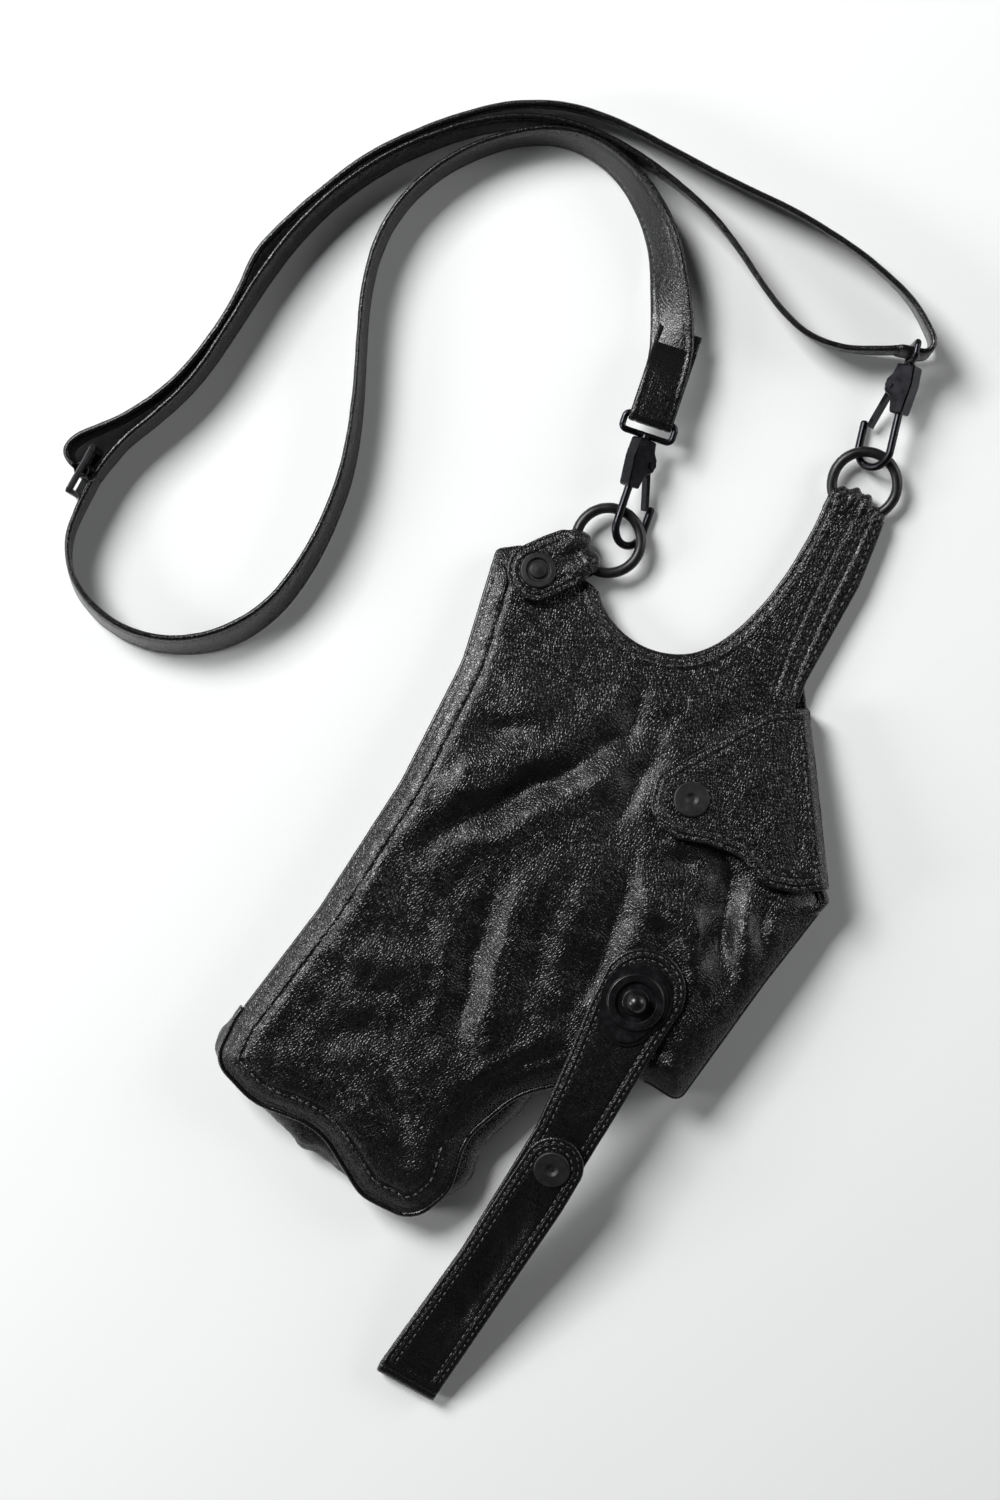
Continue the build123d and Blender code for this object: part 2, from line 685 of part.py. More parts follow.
def make_hook(side, frame, eye_first):
    """Six pieces of one snap hook, written as nodes named for its side."""
    axis_plane = Plane(origin=frame.origin, x_dir=frame.x_dir, z_dir=frame.y_dir)
    eye_plane = Plane(origin=frame.origin, x_dir=eye_first, z_dir=Vector(eye_first).cross(frame.y_dir))
    pivot_plane = Plane(origin=frame.from_local_coords((*PIVOT, 0)), x_dir=frame.x_dir, z_dir=frame.z_dir)

    with BuildPart() as barrel:
        with BuildSketch(frame):
            add(rounded(BARREL_PROFILE))
        extrude(amount=BARREL_THICKNESS / 2, both=True)
        chamfer(barrel.faces().sort_by(Axis(frame.origin, frame.z_dir))[-1].edges(), 0.5)
        chamfer(barrel.faces().sort_by(Axis(frame.origin, frame.z_dir))[0].edges(), 0.5)
        with BuildSketch(frame):
            with Locations((2.8 + 5, -9.5)):
                Rectangle(10, 11)
        extrude(amount=GATE_WIDTH / 2 + GATE_ROOM, both=True, mode=Mode.SUBTRACT)
        with BuildSketch(axis_plane.offset(-2)):
            Circle(SWIVEL_SHANK / 2 + SWIVEL_FIT)
        extrude(amount=2, mode=Mode.SUBTRACT)
        with BuildSketch(axis_plane.offset(-4)):
            Circle(SWIVEL_HEAD / 2 + SWIVEL_FIT)
        extrude(amount=2, mode=Mode.SUBTRACT)
        with BuildSketch(axis_plane.offset(-BARREL_LENGTH)):
            Circle(HOOK_WIRE / 2)
        extrude(amount=WIRE_SOCKET, mode=Mode.SUBTRACT)
        with BuildSketch(pivot_plane):
            Circle(GATE_PIN / 2)
        extrude(amount=BARREL_THICKNESS, both=True, mode=Mode.SUBTRACT)
    save(barrel, f"hook_{side}_barrel")

    with BuildPart() as wire:
        with BuildLine(frame):
            Line((0, WIRE_SOCKET - BARREL_LENGTH), (0, BEND_CENTRE))
            ThreePointArc(
                (0, BEND_CENTRE),
                (HOOK_SPREAD / 2, BEND_CENTRE - HOOK_SPREAD / 2),
                (HOOK_SPREAD, BEND_CENTRE),
            )
            Line((HOOK_SPREAD, BEND_CENTRE), (HOOK_SPREAD, BEND_CENTRE + HOOK_TIP_RISE))
        with BuildSketch(axis_plane.offset(WIRE_SOCKET - BARREL_LENGTH)):
            Circle(HOOK_WIRE / 2)
        sweep()
        tip = Vertex(*frame.from_local_coords((HOOK_SPREAD, BEND_CENTRE + HOOK_TIP_RISE, 0)))
        fillet(wire.faces().sort_by_distance(tip)[0].edges(), 0.4 * HOOK_WIRE)
    save(wire, f"hook_{side}_wire")

    run = Vector(GATE_END[0] - PIVOT[0], GATE_END[1] - PIVOT[1])
    gate_plane = Plane(origin=pivot_plane.origin, x_dir=frame.x_dir * run.X + frame.y_dir * run.Y,
                       z_dir=frame.z_dir)
    with BuildPart() as gate:
        with BuildSketch(gate_plane):
            Circle(1.9)
            with Locations((run.length / 2, 0)):
                Rectangle(run.length, GATE_THICKNESS)
        extrude(amount=GATE_WIDTH / 2, both=True)
        with BuildSketch(gate_plane):
            Circle(GATE_PIN / 2 + GATE_FIT)
        extrude(amount=GATE_WIDTH, both=True, mode=Mode.SUBTRACT)
    save(gate, f"hook_{side}_gate")

    with BuildPart() as pin:
        with BuildSketch(pivot_plane):
            Circle(GATE_PIN / 2)
        extrude(amount=BARREL_THICKNESS / 2, both=True)
        with BuildSketch(pivot_plane.offset(BARREL_THICKNESS / 2)):
            Circle(GATE_PIN * 0.9)
        extrude(amount=0.6)
        with BuildSketch(pivot_plane.offset(-BARREL_THICKNESS / 2 - 0.6)):
            Circle(GATE_PIN * 0.9)
        extrude(amount=0.6)
    save(pin, f"hook_{side}_gate_pin")

    with BuildPart() as spring:
        with BuildSketch(frame):
            with Locations((3.05, -9.5)):
                Rectangle(0.4, 10.4)
        extrude(amount=GATE_WIDTH / 2 - 0.1, both=True)
    save(spring, f"hook_{side}_gate_spring")

    half = EYE_INNER_WIDTH / 2 + EYE_WIRE / 2
    base_height = 0.2 + EYE_WIRE / 2
    with BuildPart() as eye:
        with BuildSketch(axis_plane.offset(-3.9)):
            Circle(SWIVEL_HEAD / 2)
        extrude(amount=1.8)
        with BuildSketch(axis_plane.offset(-3.9)):
            Circle(SWIVEL_SHANK / 2)
        extrude(amount=3.9 + base_height)
        with BuildLine(eye_plane):
            FilletPolyline(
                (half, base_height),
                (half, base_height + EYE_PITCH),
                (-half, base_height + EYE_PITCH),
                (-half, base_height),
                radius=2.2,
                close=True,
            )
        section = Plane(
            origin=eye_plane.from_local_coords((0, base_height, 0)),
            x_dir=eye_plane.z_dir,
            z_dir=eye_plane.x_dir,
        )
        with BuildSketch(section):
            Circle(EYE_WIRE / 2)
        sweep()
    save(eye, f"hook_{side}_eye")


LEFT_HOOK_Z = left_ring_plane.origin.Z + RING_WIRE / 2 + HOOK_WIRE / 2 + HOOK_ROOM
RIGHT_FAR_Z = RIGHT_RING_NEAR_Z + RING_MIDDLE_DIAMETER * sin(RIGHT_RING_TILT)
RIGHT_HOOK_Z = RIGHT_FAR_Z + RING_WIRE / 2 + HOOK_WIRE / 2 + HOOK_ROOM
left_ring_x, left_ring_y = left_ring_plane.origin.X, left_ring_plane.origin.Y
right_ring_x, right_ring_y = right_ring_plane.origin.X, right_ring_plane.origin.Y
LEFT_HOOK_HEADING = 100.4
RIGHT_HOOK_HEADING = 106.0
left_hook = hook_frame(left_ring_x - 7.0, left_ring_y + 42.2, LEFT_HOOK_Z, LEFT_HOOK_HEADING, 1)
right_hook = hook_frame(right_ring_x - 7.6, right_ring_y + 49.5, RIGHT_HOOK_Z, RIGHT_HOOK_HEADING, -1)
make_hook("left", left_hook, (sin(radians(LEFT_HOOK_HEADING)), -cos(radians(LEFT_HOOK_HEADING)), 0))
make_hook("right", right_hook, UP)

# ---------------------------------------------------------------- shoulder strap
EYE_BAR_HEIGHT = 0.2 + EYE_WIRE / 2 + EYE_PITCH
END_LEATHER = 1.6
END_GAP = 0.3
END_LENGTH = 26.0


def route_radii(points):
    """Largest tangent arc at each corner of a route that its two runs allow."""
    radii = []
    for before, here, after in zip(points, points[1:], points[2:]):
        first = Vector(*here) - Vector(*before)
        second = Vector(*after) - Vector(*here)
        turn = radians(first.get_angle(second))
        radii.append(0.45 * min(first.length, second.length) / tan(turn / 2))
    return radii


def ribbon(points, low, name):
    """Strap standing on its edge along a route, written as one node."""
    radii = route_radii(points)
    with BuildPart() as strand:
        with BuildSketch(Plane.XY.offset(low)):
            with BuildLine() as course:
                FilletPolyline(points, radius=radii)
            trace(line_width=STRAP_THICKNESS)
        extrude(amount=STRAP_WIDTH)
    save(strand, name)
    length = sum(edge.length for edge in course.line.edges())
    print(name, "length", round(length, 1), "volume", round(strand.part.volume, 1),
          "section x length", round(length * STRAP_WIDTH * STRAP_THICKNESS, 1))
    print("  radii", [round(radius, 1) for radius in radii])


lead_start = left_hook.from_local_coords((0, EYE_BAR_HEIGHT + END_LENGTH, 0))
bar_point = left_hook.from_local_coords((0, EYE_BAR_HEIGHT, 0))
bar_room = EYE_WIRE / 2 + END_GAP
with BuildPart() as strap_lead_end:
    end_plane = Plane(
        origin=bar_point,
        x_dir=left_hook.y_dir,
        z_dir=(sin(radians(LEFT_HOOK_HEADING)), -cos(radians(LEFT_HOOK_HEADING)), 0),
    )
    with BuildSketch(end_plane):
        with Locations((END_LENGTH / 2, 0)):
            Rectangle(END_LENGTH, 2 * (bar_room + END_LEATHER))
        Circle(bar_room + END_LEATHER)
        Circle(bar_room, mode=Mode.SUBTRACT)
        with Locations((3, 0)):
            Rectangle(6, 2 * bar_room, mode=Mode.SUBTRACT)
    extrude(amount=STRAP_WIDTH / 2, both=True)
save(strap_lead_end, "strap_lead_end")

SLIDER_X = -250.0
SLIDER_Y = 49.0
PASSING_X = -244.8
LEAD_ROUTE = [
    (lead_start.X, lead_start.Y), (-71.7, 213), (-80.5, 228), (-90.4, 241.8), (-103, 252.6),
    (-119, 260.5), (-135.7, 263), (-151.5, 259), (-166.2, 248.7), (-178, 235), (-187, 219),
    (-191.8, 200.4), (-190.8, 181.7), (-185, 163), (-176, 144.3), (-166.2, 123.6), (-158.3, 102),
    (-154.4, 79.3), (-154, 57.6), (-157.4, 36), (-168.2, 17.2), (-184, 5), (-201.7, -0.5),
    (-219.4, 1), (-234, 8.4), (-242.4, 20), (PASSING_X, 34), (PASSING_X, SLIDER_Y),
]
OUTER_ROUTE = [
    (-255, SLIDER_Y), (-259.8, 50.5), (-260, 58), (-254, 66), (-246, 76), (-236, 96), (-231.6, 119),
    (-230.6, 140.4), (-233, 158), (-229.6, 172), (-223.6, 190), (-213.8, 213), (-202.7, 229),
    (-188, 246.7), (-172, 261.5), (-153.4, 271.4), (-133.7, 275.8), (-109, 276.8), (-79.6, 277.2),
    (-50, 279.2), (-25.4, 277.8), (-5.7, 274.3), (8, 270), (17, 264),
]
EYE_CROSSING = right_hook.from_local_coords((0, 0.2 + EYE_WIRE + (EYE_PITCH - EYE_WIRE) / 2, 0))
across = Vector(sin(radians(RIGHT_HOOK_HEADING)), -cos(radians(RIGHT_HOOK_HEADING)))
fold_right = Vector(EYE_CROSSING.X, EYE_CROSSING.Y) + across * 5.0
fold_left = Vector(EYE_CROSSING.X, EYE_CROSSING.Y) - across * 6.0
EYE_FOLD_ROUTE = [(17, 264), (23.6, 258.6), (fold_right.X, fold_right.Y), (fold_left.X, fold_left.Y)]
INNER_ROUTE = [
    (fold_left.X, fold_left.Y), (2, 244), (-9, 239.6), (-22, 238), (-35.2, 241), (-50, 247.7),
    (-64.8, 255.6), (-81, 262), (-100, 266), (-123.9, 268), (-143.6, 266), (-161, 260), (-177, 249.4),
    (-191, 235), (-203.6, 218.6), (-214.6, 198), (-222, 175), (-225.6, 150.2), (-226.6, 125.6),
    (-229, 101), (-236.6, 79.3), (-243.2, 64), (PASSING_X, SLIDER_Y),
]
ribbon(LEAD_ROUTE, STRAP_FLOOR_GAP, "strap_lead")
ribbon(OUTER_ROUTE, STRAP_FLOOR_GAP, "strap_outer")
ribbon(EYE_FOLD_ROUTE, RIGHT_HOOK_Z - STRAP_WIDTH / 2, "strap_eye_fold")
ribbon(INNER_ROUTE, STRAP_FLOOR_GAP, "strap_inner")

# ---------------------------------------------------------------- slider and the strap end sewn round it
slider_side = Plane(origin=(SLIDER_X, SLIDER_Y, SLIDER_HEIGHT / 2), x_dir=(0, 1, 0), z_dir=(1, 0, 0))
slot_length = (SLIDER_LENGTH - 3 * SLIDER_BAR) / 2
with BuildPart() as slider_frame:
    with BuildSketch(slider_side):
        RectangleRounded(SLIDER_LENGTH, SLIDER_HEIGHT, 2.0)
        with Locations((-(slot_length + SLIDER_BAR) / 2, 0), ((slot_length + SLIDER_BAR) / 2, 0)):
            Rectangle(slot_length, SLIDER_HEIGHT - 2 * SLIDER_BAR, mode=Mode.SUBTRACT)
    extrude(amount=SLIDER_BAR / 2, both=True)
    fillet(slider_frame.edges().filter_by(Axis.Z), 0.6)
save(slider_frame, "slider_frame")

fold_room = SLIDER_BAR * 0.72 + 0.15
slider_plan = Plane(origin=(SLIDER_X, SLIDER_Y, (SLIDER_HEIGHT - STRAP_WIDTH) / 2))
with BuildPart() as strap_slider_fold:
    with BuildSketch(slider_plan):
        Circle(fold_room + SLIDER_FOLD * 0.8)
        with Locations((-2.3, 0)):
            Rectangle(4.6, 2 * (fold_room + SLIDER_FOLD * 0.8))
        Circle(fold_room, mode=Mode.SUBTRACT)
    extrude(amount=STRAP_WIDTH)
save(strap_slider_fold, "strap_slider_fold")

places = {
    "left ring": left_ring_plane,
    "right ring": right_ring_plane,
    "tab": tab_plane,
    "tab bend": bend_plane,
    "left hook": left_hook,
    "right hook": right_hook,
    "button": BUTTON,
    "flap snap": FLAP_SNAP,
    "hanger snap": HANGER_SNAP,
    "slider": slider_plan,
}
for place, plane in places.items():
    print(place, [[round(value, 4) for value in tuple(part)] for part in (plane.origin, plane.x_dir,
                                                                        plane.y_dir, plane.z_dir)])
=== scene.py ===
"""Looks of a holster-shaped black leather shoulder bag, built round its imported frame.

Sizes in the classes are millimetres in the frame's own axes; metres() turns them to scene units.
"""

import logging
import math
from dataclasses import dataclass, field
from enum import Enum
from typing import Any, Callable

import bmesh
import bpy
import numpy as np
from mathutils import Matrix, Vector, noise
from mathutils.geometry import delaunay_2d_cdt


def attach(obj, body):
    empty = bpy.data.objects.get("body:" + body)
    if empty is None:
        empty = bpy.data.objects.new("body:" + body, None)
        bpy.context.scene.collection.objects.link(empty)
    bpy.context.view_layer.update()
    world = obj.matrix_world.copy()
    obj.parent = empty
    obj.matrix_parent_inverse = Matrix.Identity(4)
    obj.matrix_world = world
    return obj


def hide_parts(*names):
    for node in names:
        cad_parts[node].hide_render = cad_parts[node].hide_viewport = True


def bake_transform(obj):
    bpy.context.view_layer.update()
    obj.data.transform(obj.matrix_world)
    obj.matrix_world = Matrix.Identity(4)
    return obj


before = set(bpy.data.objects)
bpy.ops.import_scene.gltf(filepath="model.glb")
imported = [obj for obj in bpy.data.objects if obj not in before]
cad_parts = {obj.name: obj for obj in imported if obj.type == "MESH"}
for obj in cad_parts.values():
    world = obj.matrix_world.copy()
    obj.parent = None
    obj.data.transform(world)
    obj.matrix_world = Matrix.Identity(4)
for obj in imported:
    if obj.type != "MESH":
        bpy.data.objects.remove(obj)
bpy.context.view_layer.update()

LOG = logging.getLogger("holster_bag")
MM = 0.001
BUTTON = (45.0, -29.0)
FLAP_SNAP = (26.0, 51.0)
TAB_SNAP = (-71.5, 101.5)
SWINGS = (-6, 0, 12, 25, 38, 50)

Array = np.ndarray
Point = tuple[float, float]
Corner = tuple[float, float, float]
Spot = tuple[float, float, float]
Height = Callable[[Array], Array]


# ---------------------------------------------------------------- small tools
def metres(values: Any) -> Array:
    """Millimetres as an array of metres."""
    return np.asarray(values, float) * MM


def smooth(share: Array) -> Array:
    """Eased step from 0 to 1."""
    held = np.clip(share, 0, 1)
    return held * held * (3 - 2 * held)


def unit(vectors: Array) -> Array:
    """Vectors scaled to length 1."""
    return vectors / np.maximum(np.linalg.norm(vectors, axis=-1, keepdims=True), 1e-9)


def resample(points: Array, step: float, closed: bool = False) -> Array:
    """Evenly spaced points along a line.

    Args:
        points: the line's points.
        step: wanted spacing.
        closed: joins the last point to the first.

    Returns:
        The new points; a closed line doesn't repeat its first one.
    """
    line = np.vstack([points, points[:1]]) if closed else np.asarray(points, float)
    reach = np.concatenate([[0], np.cumsum(np.linalg.norm(np.diff(line, axis=0), axis=1))])
    count = max(3, round(reach[-1] / step))
    marks = np.linspace(0, reach[-1], count, endpoint=not closed)
    return np.stack([np.interp(marks, reach, line[:, k]) for k in range(line.shape[1])], 1)


def outline(corners: list[Corner], step: float = 1.2) -> Array:
    """Closed cutting line with rounded corners, counter-clockwise.

    Args:
        corners: x, y and corner radius of each corner.
        step: spacing of the points.

    Returns:
        Evenly spaced points.
    """
    spots = np.array([c[:2] for c in corners], float)
    made = []
    for k, (_, _, radius) in enumerate(corners):
        here = spots[k]
        back, ahead = spots[k - 1] - here, spots[(k + 1) % len(spots)] - here
        room = 0.48 * min(np.linalg.norm(back), np.linalg.norm(ahead))
        half = math.acos(float(np.clip(unit(back) @ unit(ahead), -1, 1))) / 2
        reach = min(radius / max(math.tan(half), 0.05), room)
        middle = here + unit(unit(back) + unit(ahead)) * reach / math.cos(half)
        start, end = here + unit(back) * reach - middle, here + unit(ahead) * reach - middle
        share = np.linspace(0, 1, 9)[:, None]
        arc = unit((1 - share) * start + share * end) * np.linalg.norm(start)
        made.append(middle + arc)
    line = resample(np.vstack(made), step, closed=True)
    area = np.sum(line[:, 0] * np.roll(line[:, 1], -1) - line[:, 1] * np.roll(line[:, 0], -1))
    return line if area > 0 else line[::-1]


def away(line: Array, points: Array, closed: bool = False) -> tuple[Array, Array]:
    """Distance of each point from a line.

    Args:
        line: the line's points.
        points: the points to measure.
        closed: joins the line's last point to its first.

    Returns:
        The distances, and the index of the nearest point of the line.
    """
    count = len(line)
    gaps, nearest = np.empty(len(points)), np.empty(len(points), int)
    for low in range(0, len(points), 3000):
        part = points[low : low + 3000]
        closest = ((part[:, None] - line[None]) ** 2).sum(2).argmin(1)
        found = np.full(len(part), np.inf)
        for step in (-1, 0):
            first = (closest + step) % count if closed else np.clip(closest + step, 0, count - 2)
            start, end = line[first], line[(first + 1) % count]
            run = end - start
            share = np.clip(((part - start) * run).sum(1) / np.maximum((run * run).sum(1), 1e-9), 0, 1)
            found = np.minimum(found, np.linalg.norm(part - start - share[:, None] * run, axis=1))
        gaps[low : low + 3000], nearest[low : low + 3000] = found, closest
    return gaps, nearest


def within(line: Array, points: Array) -> Array:
    """True for each point inside a closed line."""
    inside = np.zeros(len(points), bool)
    for start, end in zip(line, np.roll(line, -1, axis=0)):
        spans = (start[1] > points[:, 1]) != (end[1] > points[:, 1])
        rise = end[1] - start[1] or 1e-9
        inside ^= spans & (points[:, 0] < (end[0] - start[0]) * (points[:, 1] - start[1]) / rise + start[0])
    return inside


def inset(rim: Array, distance: float) -> Array:
    """Points of a closed counter-clockwise line moved inward, without those that crowd a corner."""
    along = unit(np.roll(rim, -1, axis=0) - np.roll(rim, 1, axis=0))
    moved = rim + np.stack([-along[:, 1], along[:, 0]], 1) * distance
    return moved[away(rim, moved, closed=True)[0] > 0.94 * distance]


def ripple(points: Array, size: float, seed: float) -> Array:
    """Even, seeded unevenness from about -1 to 1, with lumps of the given size."""
    return np.array([noise.noise(Vector((x / size, y / size, seed))) for x, y in points[:, :2]])


def set_mesh(name: str, points: Array, faces: list[tuple[int, ...]], soft: bool = True) -> bpy.types.Object:
    """A mesh object in the scene.

    Args:
        name: the piece's name.
        points: its points in millimetres.
        faces: its faces as indices.
        soft: shades it smooth.

    Returns:
        The object.
    """
    mesh = bpy.data.meshes.new(name)
    mesh.from_pydata(metres(points).tolist(), [], faces)
    mesh.validate()
    mesh.update()
    mesh.shade_smooth() if soft else mesh.shade_flat()
    piece = bpy.data.objects.new(name, mesh)
    bpy.context.scene.collection.objects.link(piece)
    return piece


def sweep(name: str, rings: Array, capped: bool = True) -> bpy.types.Object:
    """A closed tube through rings of points.

    Args:
        name: the piece's name.
        rings: stations x points per ring x 3, in millimetres.
        capped: closes both ends.

    Returns:
        The object.
    """
    stations, around, _ = rings.shape
    faces: list[tuple[int, ...]] = []
    for s in range(stations - 1):
        for k in range(around):
            n = (k + 1) % around
            faces.append((s * around + k, s * around + n, (s + 1) * around + n, (s + 1) * around + k))
    if capped:
        faces.append(tuple(range(around))[::-1])
        faces.append(tuple((stations - 1) * around + k for k in range(around)))
    return set_mesh(name, rings.reshape(-1, 3), faces)


def flip_out(piece: bpy.types.Object) -> bpy.types.Object:
    """Turns every face of a piece outward."""
    work = bmesh.new()
    work.from_mesh(piece.data)
    bmesh.ops.recalc_face_normals(work, faces=work.faces)
    work.to_mesh(piece.data)
    work.free()
    return piece


@dataclass
class Leaf:
    """A cut leaf of leather with a turned, rounded edge.

    Attributes:
        name: the piece's name.
        rim: closed counter-clockwise cutting line.
        face: height of its upper face.
        thickness: leather thickness.
        spacing: spacing of the points away from the edge.
        border: width of the closely pointed border, where the stitch rows lie.
    """

    name: str
    rim: Array
    face: Height
    thickness: float = 1.6
    spacing: float = 1.7
    border: float = 7.0

    def build(self, place: Matrix | None = None) -> bpy.types.Object:
        """Makes the leaf.

        Args:
            place: moves the leaf from its own plane to the frame, in metres.

        Returns:
            The closed mesh.
        """
        half = self.thickness / 2
        rows = [0.1 * half, 0.35 * half, 0.8 * half] + list(np.arange(1.5 * half, self.border, 0.75))
        low, high = self.rim.min(0), self.rim.max(0)
        grid = np.stack(np.meshgrid(np.arange(low[0], high[0], self.spacing),
                                    np.arange(low[1], high[1], self.spacing * 0.87)), -1)
        grid[1::2, :, 0] += self.spacing / 2
        grid = grid.reshape(-1, 2)
        grid = grid[within(self.rim, grid)]
        grid = grid[away(self.rim, grid, closed=True)[0] > self.border + 0.3]
        flat = np.vstack([self.rim, *[inset(self.rim, row) for row in rows], grid])
        edges = [(k, (k + 1) % len(self.rim)) for k in range(len(self.rim))]
        spots, _, faces, _, _, _ = delaunay_2d_cdt([Vector(p) for p in flat.tolist()], edges, [], 1, 1e-5)
        points = np.array([tuple(v) for v in spots])
        gap = away(self.rim, points, closed=True)[0]
        on_rim = gap < 1e-3
        turn = half * np.sqrt(np.clip(1 - (1 - np.clip(gap / half, 0, 1)) ** 2, 0, 1))
        middle = self.face(points) - half
        upper = np.column_stack([points, middle + turn])
        lower = np.column_stack([points, middle - turn])
        index = np.arange(len(points))
        below = index.copy()
        below[~on_rim] = len(points) + np.arange((~on_rim).sum())
        both = np.vstack([upper, lower[~on_rim]])
        sides = [tuple(f) for f in faces]
        sides += [tuple(int(below[k]) for k in reversed(f)) for f in faces]
        piece = set_mesh(self.name, both, sides)
        if place is not None:
            piece.data.transform(place)
        return flip_out(piece)


@dataclass
class Stitching:
    """Rows of sewn stitches standing a little proud of the leather.

    Attributes:
        pitch: distance from stitch to stitch.
        length: visible length of one stitch.
        thread: thickness of the sewing thread.
    """

    pitch: float = 3.1
    length: float = 2.35
    thread: float = 0.72
    spots: list[Array] = field(default_factory=list)

    def along(self, line: Array, face: Height, closed: bool = False, place: Matrix | None = None) -> None:
        """Adds a row of stitches along a line on a face.

        Args:
            line: the row's points.
            face: height of the leather's face.
            closed: the row comes back to its start.
            place: moves the row from its own plane to the frame, in metres.
        """
        marks = resample(line, self.pitch, closed)
        nearby = resample(line, 0.8, closed)
        run = unit(np.gradient(nearby, axis=0))
        _, nearest = away(nearby, marks)
        run = run[nearest]
        ahead, behind = marks + run * 0.8, marks - run * 0.8
        side = np.stack([-run[:, 1], run[:, 0]], 1)
        height = face(marks)
        slope = (face(ahead) - face(behind)) / 1.6
        across = (face(marks + side * 0.8) - face(marks - side * 0.8)) / 1.6
        forward = unit(np.column_stack([run, slope]))
        sideways = unit(np.column_stack([side, across]))
        up = unit(np.cross(forward, sideways))
        middle = np.column_stack([marks, height + 0.04])
        self.add(middle, forward, up, place)

    def open_row(self, line: Array, face: Height, place: Matrix | None = None) -> None:
        """Adds a row along a closed line that has a gap cut in it, starting after the gap."""
        start = int(np.linalg.norm(np.diff(line, axis=0, append=line[:1]), axis=1).argmax())
        self.along(np.roll(line, -start - 1, axis=0), face, place=place)

    def add(self, middle: Array, forward: Array, up: Array, place: Matrix | None = None) -> None:
        """Adds single stitches.

        Args:
            middle: middle of each stitch.
            forward: direction of each stitch.
            up: direction square to the leather.
            place: moves them from their own plane to the frame, in metres.
        """
        side = np.cross(up, forward)
        rings = []
        for share, width in ((-1.0, 0.12), (-0.72, 0.8), (0.0, 1.0), (0.72, 0.8), (1.0, 0.12)):
            for k in range(6):
                angle = math.pi * k / 3
                rings.append(middle + forward * share * self.length / 2
                             + side * (math.cos(angle) * width * self.thread / 2)
                             + up * (math.sin(angle) * width * self.thread * 0.42 - 0.22 * share**2))
        made = np.stack(rings, 1)
        if place is not None:
            turn, shift = np.array(place.to_3x3()), np.array(place.translation) / MM
            made = made @ turn.T + shift
        self.spots.append(made)

    def build(self, name: str) -> bpy.types.Object:
        """The stitches added so far, as one mesh."""
        made = np.vstack(self.spots)
        faces: list[tuple[int, ...]] = []
        for base in range(0, len(made) * 30, 30):
            for ring in range(4):
                for k in range(6):
                    n = (k + 1) % 6
                    low, high = base + ring * 6, base + ring * 6 + 6
                    faces.append((low + k, low + n, high + n, high + k))
            faces.append(tuple(base + k for k in range(5, -1, -1)))
            faces.append(tuple(base + 24 + k for k in range(6)))
        self.spots = []
        return set_mesh(name, made.reshape(-1, 3), faces)


# ---------------------------------------------------------------- finishes
def linear(code: str) -> tuple[float, float, float, float]:
    """A six-digit sRGB hex colour as linear light."""
    parts = [int(code[k : k + 2], 16) / 255 for k in (0, 2, 4)]
    return (*[p / 12.92 if p <= 0.04045 else ((p + 0.055) / 1.055) ** 2.4 for p in parts], 1.0)


def add_node(tree: bpy.types.NodeTree, kind: str, settings: dict[Any, Any] | None = None,
             links: dict[Any, bpy.types.NodeSocket] | None = None) -> bpy.types.Node:
    """Adds a node with its settings and links.

    Args:
        tree: the material's tree.
        kind: the node's type.
        settings: its fields by name, and its inputs by socket name or number.
        links: sockets that feed its inputs.

    Returns:
        The node.
    """
    made = tree.nodes.new(kind)
    for key, value in (settings or {}).items():
        if isinstance(key, str) and hasattr(made, key):
            setattr(made, key, value)
        else:
            made.inputs[key].default_value = value
    for key, socket in (links or {}).items():
        tree.links.new(socket, made.inputs[key])
    return made


def open_material(name: str) -> tuple[bpy.types.Material, bpy.types.NodeTree, bpy.types.Node]:
    """A new material, its tree and its surface shader."""
    material = bpy.data.materials.new(name)
    material.use_nodes = True
    return material, material.node_tree, material.node_tree.nodes["Principled BSDF"]


def per_metre(size: float) -> float:
    """Pattern scale that gives features of a size in millimetres."""
    return 1000.0 / size


